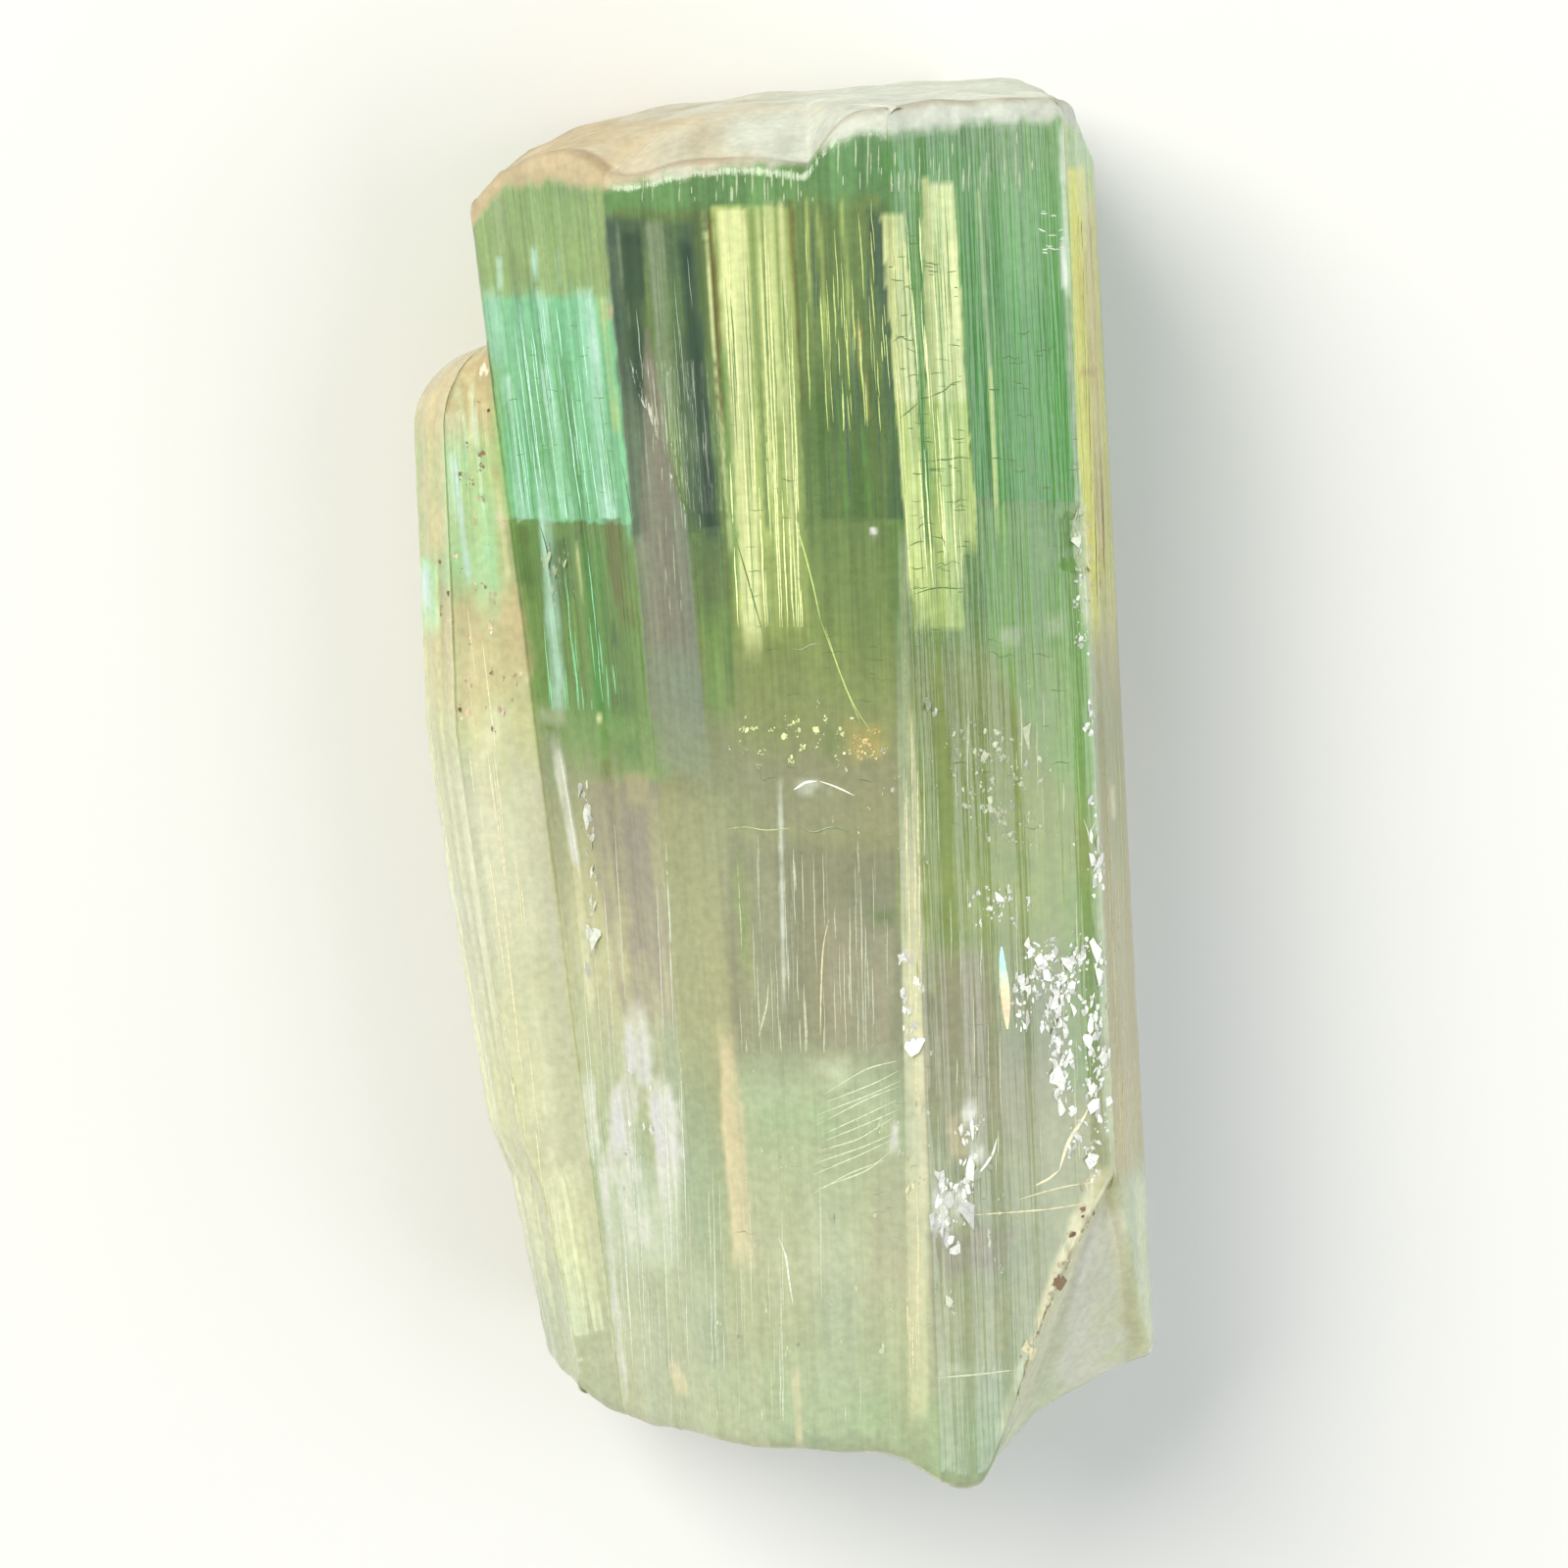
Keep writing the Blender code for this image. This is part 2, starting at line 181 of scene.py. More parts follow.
def corners(y):
    """x and z of every corner of the cross-section at heights y; the array's last two axes are the corner, and
    x and z."""
    found = []
    for name in RING:
        if name in SIDE_EDGES:
            x, z = side_edge(name, y)
        elif name == "front_wedge":
            x, z = wedge_edge(y)
        else:
            x, z = edge_line(name, y)
        found.append(np.stack(np.broadcast_arrays(x, z), -1))
    return np.stack(found, -2)


def soft_max(*surfaces):
    """The highest of several surfaces, rounded off where they cross: a logarithm of summed exponentials."""
    stack = np.stack(surfaces) / SOFTNESS
    peak = stack.max(0)
    return SOFTNESS * (peak + np.log(np.exp(stack - peak).sum(0)))


def soft_min(*surfaces):
    return -soft_max(*(-s for s in surfaces))


def plane(facts, x, z):
    height, by_x, by_z = facts
    return height + by_x * x + by_z * z


def undulation(x, z, phase):
    """A gentle unevenness of a broken or etched surface: the mean of crossing sine waves."""
    waves = [np.sin(by_x * x + by_z * z + phase * k) for k, (by_x, by_z) in enumerate(WAVES)]
    return UNDULATION * sum(waves) / len(waves)


def smooth_line(x, stops, blur):
    """A line through stops (x, y) with its bends rounded off, as the mean of shifted copies of it."""
    stop_x, stop_y = zip(*stops)
    shifts = np.linspace(-blur, blur, BLUR_COPIES)
    return sum(np.interp(x + shift, stop_x, stop_y) for shift in shifts) / len(shifts)


def termination(x, z):
    """Height of the flat end over (x, z): the lowest of its planes, less a dent, with an undulation."""
    bevel = plane(TOP_BEVEL, x, z) + BEVEL_STOP_SLOPE * np.maximum(0, x - BEVEL_END)
    faces = soft_min(*(plane(facts, x, z) for facts in TOP_PLANES.values()), bevel)
    dent = DENT_DEPTH * np.exp(-((x - DENT_X) ** 2 + (z - DENT_Z) ** 2) / DENT_RADIUS**2)
    return faces - dent + undulation(x, z, TOP_PHASE)


def chip(x, z):
    """How much higher the chip lifts the base: a power of the way across times a power of the way forward."""
    across = np.maximum(0, x - CHIP_START_X) / (CHIP_REACH_X - CHIP_START_X)
    forward = np.maximum(0, z - CHIP_FLOOR_Z) / (CHIP_RIM_Z - CHIP_FLOOR_Z)
    return CHIP_LENGTH * across**CHIP_SPREAD * forward**CHIP_HOLLOW


def broken_base(x, z):
    """Height of the bottom end over (x, z): its lower outline, sloping up to front and back, and the chip."""
    outline = smooth_line(x, BASE_OUTLINE, BASE_BLUR)
    backward = BASE_BACK_SHARE * np.clip((BASE_WIDEST_Z - z) / BASE_WIDEST_Z, 0, 1) ** 2
    rim = outline + (np.maximum(outline, BASE_BACK_LEVEL) - outline) * backward
    off_widest = z - BASE_WIDEST_Z
    slope = np.where(off_widest > 0, BASE_FRONT_SLOPE * off_widest, -BASE_BACK_SLOPE * off_widest)
    return rim + slope + undulation(x, z, BASE_PHASE) + chip(x, z)


def face_widths():
    """The width of every face of the prism, half way up it."""
    middle = corners(0.0)
    return np.linalg.norm(np.roll(middle, -1, 0) - middle, axis=1)


def columns():
    """Which face each column of the skin lies on and how far across it, evenly spaced over every face."""
    steps = [round(width / step) for width, step in zip(face_widths(), FACE_STEPS)]
    face = np.repeat(np.arange(len(steps)), steps)
    share = np.concatenate([np.arange(count) / count for count in steps])
    return face, share


def square_to(run):
    """Unit vectors in the cross-section that point out of the faces which run that way."""
    return np.stack([-run[..., 1], run[..., 0]], -1) / np.linalg.norm(run, axis=-1)[..., None]


def growth_lane(face, share, y, x):
    """How far round the crystal each point lies, in mm at half height, as growth lines count it. The wedge and
    the main left face are taken as one width there, so that the lines run straight past the edge they share."""
    widths = face_widths()
    starts = np.cumsum(widths) - widths
    wedge, main = FACE["front_left"], FACE["front_wedge"]
    near, far = edge_line("front_left", y)[0], edge_line("ridge_left", y)[0]
    joined = starts[wedge] + (x - near) / (far - near) * (widths[wedge] + widths[main])
    return np.where((face == wedge) | (face == main), joined, starts[face] + share * widths[face])


def outline_point(face, share, y):
    """Points (x, z) of the outline, each column's at its own heights y, and the way out of the crystal there:
    square to the face, or mitred on a corner."""
    ring = corners(y)
    pick = np.arange(len(face))
    before, start, end = (ring[..., pick, (face + step) % len(RING), :] for step in (-1, 0, 1))
    out, out_before = square_to(end - start), square_to(start - before)
    mitre = (out + out_before) / (1 + (out * out_before).sum(-1, keepdims=True))
    on_corner = (share == 0)[:, None]
    return start + (end - start) * share[:, None], np.where(on_corner, mitre, out)


def grooves(distance, y, sizes, seed):
    """Height of growth grooves: seeded steps across each face, blended by an S-curve, that swell and fade
    along the crystal as a slow sine."""
    seeds = np.random.default_rng(seed)
    height = np.zeros(np.broadcast_shapes(distance.shape, y.shape))
    for width, depth in sizes:
        count = math.ceil(face_widths().sum() / width) + 1
        levels, shifts = seeds.uniform(-1, 1, count), seeds.uniform(0, 2 * math.pi, count)
        cell = distance / width
        low = cell.astype(int)
        blend = cell - low
        blend = blend * blend * (3 - 2 * blend)
        for cells, part in ((low, 1 - blend), (low + 1, blend)):
            swell = 1 - GROOVE_FADE + GROOVE_FADE * np.sin(y / GROOVE_LENGTH + shifts[cells])
            height += depth * part * levels[cells] * swell
    return height


def mottle(u, v, seed):
    """Smooth seeded unevenness from -1 to 1: random values on a unit lattice, blended by an S-curve."""
    size = 256
    values = np.random.default_rng(seed).uniform(-1, 1, (size, size))
    u, v = np.broadcast_arrays(u, v)
    i, j = np.floor(u).astype(int), np.floor(v).astype(int)
    along, across = u - i, v - j
    along, across = (part * part * (3 - 2 * part) for part in (along, across))
    near = values[i % size, j % size] * (1 - along) + values[(i + 1) % size, j % size] * along
    far = values[i % size, (j + 1) % size] * (1 - along) + values[(i + 1) % size, (j + 1) % size] * along
    return near * (1 - across) + far * across


def wear(face, share, y):
    """How far wear takes the surface in: a rounded bite out of the front right edge, and seeded nicks that are
    deepest on every sharp edge and die out beside it."""
    widths = face_widths()
    off_edge = np.minimum(share, 1 - share) * widths[face]
    nicks = np.clip(mottle(y / NICK_LENGTH, face + 0.37 + (share > 0.5), FINE_SEED), 0, 1) ** 2
    depth = NICK_DEPTH * nicks * np.exp(-((off_edge / NICK_WIDTH) ** 2))
    at_edge = np.where(face == FACE["ridge_right"], 1 - share, np.where(face == FACE["front_right"], share, 9))
    from_edge = at_edge * widths[face] / BITE_WIDTH
    rough = 1 + 0.5 * mottle(y / 0.22, from_edge * 2, FINE_SEED + 1)
    bite = BITE_DEPTH * rough * np.exp(-(((y - BITE_Y) / BITE_REACH) ** 4) - from_edge**2)
    return depth + bite


def end_heights(end_surface, face, share, start):
    """The height at which each column's rim meets an end surface, found by repetition as the prism tapers."""
    y = np.full(len(face), start)
    for _ in range(SETTLING_ROUNDS):
        point, outward = outline_point(face, share, y)
        rim = point - outward * RIM_RADIUS
        y = end_surface(rim[:, 0], rim[:, 1])
    return y


def rim_inset(distance):
    """How far a quarter-round rim stands in from the side at a distance from the end."""
    left = np.clip(RIM_RADIUS - distance, 0, RIM_RADIUS)
    return RIM_RADIUS - np.sqrt(RIM_RADIUS**2 - left**2)


def row_heights(low, high):
    """Heights of every row, for columns that run from low to high: rims, ends and level rows between."""
    rim = np.array(RIM_ROWS)[:, None] * RIM_RADIUS
    inner_low, inner_high = low + RIM_RADIUS, high - RIM_RADIUS
    count_low = round((LOWER_STATION + EDGE_STATION + 1.5) / ROW_STEP)
    count_high = round((EDGE_STATION + 2.5 - UPPER_STATION) / ROW_STEP)
    level = np.linspace(LOWER_STATION, UPPER_STATION, round((UPPER_STATION - LOWER_STATION) / ROW_STEP))
    level = np.sort(np.concatenate([level, CUT_ROWS]))
    up = np.linspace(0, 1, count_low)[1:-1, None]
    on = np.linspace(0, 1, count_high)[1:-1, None]
    return np.concatenate(
        [
            low + rim,
            inner_low + (LOWER_STATION - inner_low) * up,
            level[:, None] + np.zeros_like(low),
            UPPER_STATION + (inner_high - UPPER_STATION) * on,
            high - rim[::-1],
        ]
    )


def cap_rings(rim, end_surface):
    """Rings from a rim towards the middle of an end surface, scaled down about it, then the middle point."""
    centre = np.array([CAP_CENTRE_X, CAP_CENTRE_Z])
    scale = (1 - (np.arange(1, CAP_STEPS) / CAP_STEPS) ** CAP_CROWDING)[:, None]
    lift = rim[:, 1] - end_surface(rim[:, 0], rim[:, 2])
    x = centre[0] + (rim[:, 0] - centre[0]) * scale
    z = centre[1] + (rim[:, 2] - centre[1]) * scale
    height = end_surface(x, z) + lift * scale**RIM_FADE_POWER
    return np.stack([x, height, z], -1), np.array([[centre[0], end_surface(*centre), centre[1]]])


def crystal_skin():
    """The closed surface as rings of columns: in from the middle of the base, up the sides, and over the flat
    end. Returns its points, its faces, the way out of it at each point, and each point's face of the prism,
    growth lane, and distances from the base and from the flat end."""
    face, share = columns()
    low = end_heights(broken_base, face, share, -EDGE_STATION)
    high = end_heights(termination, face, share, EDGE_STATION)
    y = row_heights(low, high)
    point, outward = outline_point(face, share, y)
    lane = growth_lane(face, share, y, point[..., 0])
    relief = grooves(lane, y, GROOVES, GROOVE_SEED) + grooves(lane, y, FINE_GROOVES, FINE_SEED)
    flat = (face == FACE["back_right"]) | (share == 0)
    relief = np.where(flat, 0.0, relief) - np.where(face == FACE["back_right"], 0.0, wear(face, share, y))
    relief -= rim_inset(y - low) + rim_inset(high - y)
    point = point + outward * relief[..., None]
    sides = np.stack([point[..., 0], y, point[..., 1]], -1)
    base, base_middle = cap_rings(sides[0], broken_base)
    top, top_middle = cap_rings(sides[-1], termination)
    rings = np.concatenate([base[::-1], sides, top])
    points = np.concatenate([base_middle, rings.reshape(-1, 3), top_middle])
    count, rows = len(face), len(rings)
    number = 1 + np.arange(rows * count).reshape(rows, count)
    after = np.roll(number, -1, 1)
    quads = np.stack([number[:-1], after[:-1], after[1:], number[1:]], -1).reshape(-1, 4)
    first = np.stack([np.zeros(count, int), after[0], number[0]], -1)
    last = np.stack([number[-1], after[-1], np.full(count, len(points) - 1)], -1)

    run = np.roll(rings, -1, 1) - np.roll(rings, 1, 1)
    square = np.cross(run, np.gradient(rings, axis=0))
    square /= np.linalg.norm(square, axis=-1)[..., None]
    square = np.concatenate([[[0, -1, 0]], square.reshape(-1, 3), [[0, 1, 0]]])

    rows_of = np.concatenate([np.zeros(len(base), int), np.arange(len(y)), np.full(len(top), len(y) - 1)])
    point_face = np.tile(face, (rows, 1))
    point_face[: len(base)] = BASE_FACE
    point_face[-len(top) :] = TOP_FACE
    kept = [point_face, lane[rows_of], (y - low)[rows_of], (high - y)[rows_of]]
    kept = [np.concatenate([values.flat[:1], values.ravel(), values.flat[-1:]]) for values in kept]
    return points, (quads, first, last), square, *kept


BASE_FACE, TOP_FACE = -1, -2


# The crystal's colours. The boron-rich fluid it grew from changed, so the green stops short in sharp steps across
# its length and gives way to a nearly colourless stone. The sharp-edged bright and dark strips in the green are
# painted reflections: the back faces, mirrored inside, painted into the skin's colour. Each colour is named once
# here, and every zone and mark below takes one of them.

PALETTE = {
    "jade": "#86ba74", "sea green": "#58a048", "leaf green": "#74aa52", "fern": "#80ac5c", "grass": "#6a9a4c",
    "spring": "#a8c67c", "apple": "#aed288", "mint": "#98ecb4", "ice": "#cdfbe8", "lime": "#f2f9b2",
    "pale lime": "#d0e285", "yellow": "#fdf060", "yellow olive": "#cfca6a", "gold": "#dcc274", "sage": "#a2bf90", "olive": "#809a5a",
    "deep olive": "#587a3c", "moss": "#9cae62", "dark teal": "#4a6450", "black teal": "#2b4636",
    "grey green": "#9caa90", "grey pink": "#9c9484", "pink brown": "#a39c84", "clay": "#9b9c80",
    "brown": "#6e5c26", "rust": "#9a7850", "tan": "#cdba90", "khaki": "#bdb284", "peach": "#efd6b0",
    "cream": "#e6dfb4", "wheat": "#dbd7a9", "sprig": "#b4be88", "straw": "#b0b288", "milk green": "#b4c29d",
    "milk": "#c9d0b0", "frost": "#dfe5d6", "white": "#f8faf0", "pale leaf": "#b9d79c", "pale stone": "#e6ebd2",
}

# Colour along each group of faces, from the flat end down: (height in mm, colour). Two stops close together are
# a sharp step.
ZONES = {
    "left": (
        # On the left face, the mint stretch down to the step at 6.44 is a painted reflection of the back faces.
        (14.8, "apple"), (12.4, "spring"), (11.86, "apple"), (11.70, "mint"), (6.50, "mint"), (6.44, "fern"),
        (1.9, "fern"), (0.4, "straw"), (-4.0, "wheat"), (-9.0, "milk green"), (-13.0, "milk"),
    ),
    "wedge": (
        (13.7, "jade"), (13.4, "grey green"), (2.6, "grey green"), (0.6, "straw"), (-5.0, "straw"),
        (-9.0, "milk green"), (-14.0, "milk"),
    ),
    "middle": (
        (13.9, "jade"), (13.6, "olive"), (6.6, "olive"), (4.0, "moss"), (1.2, "straw"), (-0.6, "straw"),
        (-1.2, "clay"), (-5.4, "clay"), (-7.0, "milk green"), (-11.0, "milk"), (-14.5, "milk green"),
    ),
    "ridge": (
        (13.7, "jade"), (13.3, "dark teal"), (6.2, "leaf green"), (2.5, "milk green"), (-1.0, "milk"),
        (-12.0, "milk"), (-14.5, "milk green"),
    ),
    "right front": (
        (13.9, "jade"), (12.5, "sea green"), (7.10, "sea green"), (7.03, "fern"), (4.6, "fern"), (3.2, "moss"),
        (-2.5, "moss"), (-4.5, "clay"), (-7.0, "straw"), (-14.0, "milk green"),
    ),
    "right side": (
        (15.0, "apple"), (13.6, "yellow olive"), (5.5, "yellow olive"), (3.0, "khaki"), (-8.6, "khaki"),
        (-9.4, "milk"), (-14.0, "milk"),
    ),
    "side": (
        (11.4, "apple"), (10.5, "tan"), (9.0, "tan"), (8.0, "sprig"), (5.2, "sprig"), (4.2, "khaki"),
        (1.6, "wheat"), (-3.0, "cream"), (-8.0, "wheat"), (-13.0, "milk"),
    ),
    "side rim": ((11.4, "apple"), (10.5, "tan"), (6.0, "wheat"), (1.0, "wheat"), (-3.0, "cream"), (-13.0, "cream")),
    "hidden": (
        (15.0, "pale leaf"), (6.9, "pale leaf"), (6.2, "milk"), (1.0, "wheat"), (-3.0, "pale stone"),
        (-13.0, "pale stone"),
    ),
}
ZONE_OF_FACE = (
    "hidden", "side rim", "side rim", "side", "side", "left", "wedge", "middle", "ridge", "right front",
    "right side", "hidden", "hidden", "hidden",
)

# The photograph's frame, in which the marks below are placed: x and y in pixels of a picture PHOTO_SIDE wide,
# seen from CAMERA_PLACE. The skin's own points are carried into it, so each mark lies on the crystal.
PHOTO_SIDE = 1600
LENS, SENSOR = 100.0, 36.0  # mm
VIEW_TILT = math.radians(6.0)  # how far the view leans back from straight down
VIEW_SCALE = 42.0  # pixels to a millimetre at the target
TARGET = np.array([0.0, 0.0, 5.5])
TOWARDS_VIEWER = np.array([0.0, math.sin(VIEW_TILT), math.cos(VIEW_TILT)])
VIEW_UP = np.array([0.0, math.cos(VIEW_TILT), -math.sin(VIEW_TILT)])
FOCAL = LENS / SENSOR * PHOTO_SIDE
CAMERA_PLACE = TARGET + TOWARDS_VIEWER * FOCAL / VIEW_SCALE

# Marks. Each is a name, a colour, its strength, the left, right and height of its top edge, the same of its foot,
# and how soft its sides, top and foot are and how ragged its outline is.
LEFT_FACE_MARKS = (
    ("olive heart of the green end", "spring", 0.8, (538, 600, 205), (534, 604, 276), 20, 20, 16, 2),
    ("pale column in the green end", "milk green", 0.5, (503, 512, 196), (508, 516, 262), 6, 20, 20, 1),
    ("left tick", "ice", 1.0, (506, 512, 262), (508, 514, 294), 3, 8, 3, 0),
    ("middle tick", "ice", 0.8, (541, 548, 252), (543, 550, 284), 3, 8, 6, 0),
    ("right tick", "ice", 0.7, (566, 571, 254), (568, 573, 292), 3, 8, 6, 0),
    ("strip beside the side crystal", "apple", 0.6, (499, 508, 380), (510, 524, 530), 6, 40, 1, 2),
    # The mirror columns, and the deep green strips between them, are painted reflections of the back faces.
    ("left mirror column", "ice", 0.85, (511, 521, 382), (528, 543, 531), 4, 8, 1, 3),
    ("upper left of the mirror", "ice", 0.45, (492, 508, 296), (502, 518, 372), 8, 10, 10, 3),
    ("middle mirror column", "ice", 0.9, (546, 560, 299), (554, 564, 350), 4, 3, 4, 3),
    ("its lower part", "ice", 0.92, (548, 562, 372), (574, 586, 530), 4, 3, 1, 3),
    ("deep green between", "sea green", 0.6, (562, 572, 310), (588, 598, 528), 5, 20, 1, 3),
    ("deep green beside it", "sea green", 0.45, (532, 542, 330), (548, 566, 529), 5, 20, 1, 3),
    ("right mirror column", "ice", 1.0, (588, 605, 297), (612, 631, 529), 4, 2, 1, 3),
    ("tan spot on the edge", "tan", 0.85, (613, 625, 306), (615, 627, 328), 5, 4, 4, 3),
    ("pale line along the edge", "pale lime", 0.85, (607, 617, 301), (626, 634, 440), 3, 3, 10, 2),
    ("mint line along the edge", "mint", 0.9, (630, 637, 440), (638, 645, 550), 3, 6, 20, 2),
    ("olive block", "deep olive", 0.85, (526, 539, 536), (534, 548, 606), 4, 1, 40, 3),
    ("dark top of the block", "brown", 0.5, (528, 537, 538), (529, 538, 556), 3, 1, 8, 2),
    ("green below the block", "fern", 0.8, (533, 548, 606), (546, 561, 735), 5, 40, 3, 2),
    ("arched dark block", "deep olive", 0.9, (570, 596, 531), (572, 594, 558), 5, 3, 8, 3),
    ("grainy dark strip", "black teal", 0.8, (558, 580, 548), (566, 586, 626), 5, 6, 16, 6),
    ("olive strip", "deep olive", 0.7, (568, 588, 624), (576, 600, 720), 6, 16, 20, 3),
    ("gold streak", "lime", 0.9, (586, 590, 556), (592, 596, 612), 2, 10, 16, 1),
    ("bright green strip", "sea green", 0.75, (592, 612, 548), (603, 624, 736), 5, 16, 8, 2),
    ("brown strip", "brown", 0.85, (614, 634, 530), (632, 652, 640), 4, 1, 20, 3),
    ("olive foot of it", "deep olive", 0.75, (630, 652, 640), (624, 654, 730), 6, 20, 24, 4),
    ("pale streak", "ice", 0.6, (546, 560, 480), (563, 579, 724), 5, 40, 10, 2),
    ("heart of the streak", "ice", 0.75, (549, 554, 520), (568, 573, 700), 2, 30, 30, 1),
    ("dark dots", "black teal", 0.9, (624, 628, 636), (626, 630, 656), 2, 3, 3, 3),
    ("tick at the foot", "lime", 1.0, (608, 613, 728), (610, 615, 740), 3, 4, 3, 0),
    ("pale foot of the streak", "milk green", 0.8, (547, 574, 722), (552, 582, 742), 5, 10, 3, 3),
    ("cloud under the green end", "leaf green", 0.75, (568, 676, 736), (588, 690, 796), 18, 6, 12, 8),
    ("deeper heart of the cloud", "deep olive", 0.45, (620, 664, 750), (622, 660, 786), 14, 14, 12, 8),
    ("grey strip", "grey green", 0.7, (551, 568, 745), (556, 574, 800), 6, 4, 20, 3),
    ("dark knot under the cloud", "brown", 0.6, (612, 624, 780), (612, 622, 796), 4, 4, 5, 4),
    ("pink-brown strip", "grey pink", 0.95, (592, 672, 798), (638, 690, 1048), 5, 6, 40, 3),
    ("darker head of it", "grey pink", 0.75, (598, 640, 802), (608, 660, 872), 7, 6, 24, 6),
    ("tan tongue over it", "khaki", 0.8, (634, 664, 790), (640, 662, 820), 6, 5, 7, 5),
    ("foot of the strip", "grey green", 0.8, (650, 691, 1045), (686, 695, 1180), 6, 30, 40, 2),
    # The white streaks and the glint below them are a painted highlight: a lamp's sheen on the left of the crystal,
    # with a dark fleck and a dark line left in it.
    ("white streak", "white", 0.8, (562, 572, 762), (584, 592, 884), 4, 30, 1, 2),
    ("white streak lower down", "cream", 0.85, (584, 592, 884), (600, 608, 1034), 4, 1, 40, 2),
    ("white streak at the glint", "frost", 0.8, (592, 606, 1100), (600, 612, 1180), 4, 30, 30, 3),
    ("glint", "white", 0.8, (638, 660, 1030), (634, 668, 1108), 12, 40, 14, 8),
    ("left branch of the glint", "white", 0.75, (622, 652, 1106), (618, 646, 1194), 13, 20, 60, 9),
    ("right branch of the glint", "white", 0.75, (662, 682, 1106), (670, 694, 1196), 12, 20, 60, 9),
    ("foot of the glint", "frost", 0.75, (612, 694, 1186), (622, 692, 1290), 18, 20, 60, 6),
    ("dark fleck in the glint", "grey green", 0.9, (643, 651, 1094), (643, 652, 1106), 3, 3, 3, 2),
    ("dark line in the glint", "grey green", 0.75, (650, 654, 1110), (656, 660, 1214), 2, 10, 20, 1),
    ("white streak near the foot", "frost", 0.8, (609, 617, 1180), (634, 642, 1435), 4, 50, 8, 2),
    ("grey foot", "grey green", 0.35, (700, 735, 1330), (702, 738, 1420), 14, 24, 20, 4),
    ("seam beside the side crystal", "pink brown", 0.8, (559, 563, 804), (581, 584, 991), 2, 15, 30, 1),
)
WEDGE_MARKS = (
    # The dark bands, with their deeper hearts, are painted dark reflections of the back faces.
    ("dark band", "dark teal", 0.96, (616, 658, 222), (645, 660, 548), 4, 14, 14, 3),
    ("deeper heart of it", "black teal", 0.85, (632, 654, 236), (648, 660, 420), 6, 12, 30, 3),
    ("light line in it", "grey green", 0.7, (626, 629, 224), (640, 642, 330), 2, 8, 20, 1),
    ("grey green strip", "grey green", 0.8, (658, 676, 226), (674, 690, 420), 5, 14, 30, 2),
    ("second dark band", "dark teal", 0.96, (676, 708, 225), (702, 735, 545), 5, 14, 1, 3),
    ("deeper heart of that", "black teal", 0.75, (692, 706, 246), (712, 731, 538), 6, 20, 1, 3),
    ("block in the dark band", "black teal", 0.7, (717, 732, 470), (720, 735, 536), 2, 3, 1, 2),
    ("grey pink tongue", "grey pink", 0.96, (658, 662, 338), (654, 698, 531), 3, 2, 20, 2),
    ("foot of the tongue", "grey pink", 0.85, (654, 698, 531), (664, 712, 668), 4, 20, 60, 2),
    ("milky foot of the tongue", "grey green", 0.7, (664, 712, 668), (672, 722, 790), 6, 40, 30, 2),
    ("pale below the tongue", "straw", 0.7, (666, 742, 812), (694, 747, 1090), 10, 14, 60, 3),
    ("green under the second band", "dark teal", 0.6, (704, 738, 545), (713, 744, 640), 3, 1, 30, 2),
    ("its paler foot", "fern", 0.8, (713, 746, 620), (722, 752, 730), 5, 40, 40, 3),
    ("grey line past it", "dark teal", 0.5, (735, 746, 640), (742, 752, 724), 4, 20, 20, 2),
    ("peach strip", "peach", 0.6, (732, 751, 1060), (748, 770, 1290), 7, 60, 40, 5),
    ("peach fleck near the foot", "peach", 0.7, (680, 692, 1388), (690, 706, 1424), 4, 8, 8, 3),
    ("smudge near the foot", "grey green", 0.55, (712, 739, 1341), (714, 740, 1395), 8, 20, 20, 4),
)
# The bright band is a painted reflection of a back face, mirrored inside, with its grooves as bright and dark lines.
BRIGHT_BAND_MARKS = (
    ("ground of the band", "pale lime", 0.8, (724, 808, 210), (752, 826, 640), 3, 3, 50, 2),
    ("thin bright line", "lime", 0.97, (716, 719, 217), (744, 748, 562), 2, 3, 10, 1),
    ("brown line", "brown", 0.85, (721, 727, 221), (734, 741, 430), 2, 4, 40, 1),
    ("bright column", "lime", 1.0, (731, 761, 213), (742, 769, 400), 3, 2, 1, 2),
    ("foot of the column", "lime", 0.95, (742, 769, 400), (760, 778, 660), 4, 1, 60, 3),
    ("green beside it", "grass", 0.7, (735, 742, 350), (745, 756, 600), 4, 30, 30, 3),
    ("olive line", "olive", 0.85, (765, 769, 212), (781, 785, 540), 2, 4, 10, 1),
    ("bright line", "lime", 0.8, (771, 775, 211), (787, 790, 500), 2, 4, 30, 1),
    ("second olive line", "olive", 0.8, (776, 778, 210), (791, 793, 520), 2, 4, 20, 1),
    ("narrow bright column", "lime", 0.95, (779, 788, 208), (792, 800, 420), 2, 3, 30, 1),
    ("white line", "lime", 0.95, (793, 799, 205), (806, 811, 548), 2, 3, 10, 1),
    ("foot of the white line", "pale lime", 0.85, (806, 811, 548), (814, 818, 646), 2, 10, 20, 1),
    ("brown line beside it", "brown", 0.75, (803, 809, 203), (817, 822, 420), 2, 3, 30, 1),
    ("olive ground at the foot", "moss", 0.7, (776, 806, 560), (790, 822, 660), 5, 30, 20, 4),
)
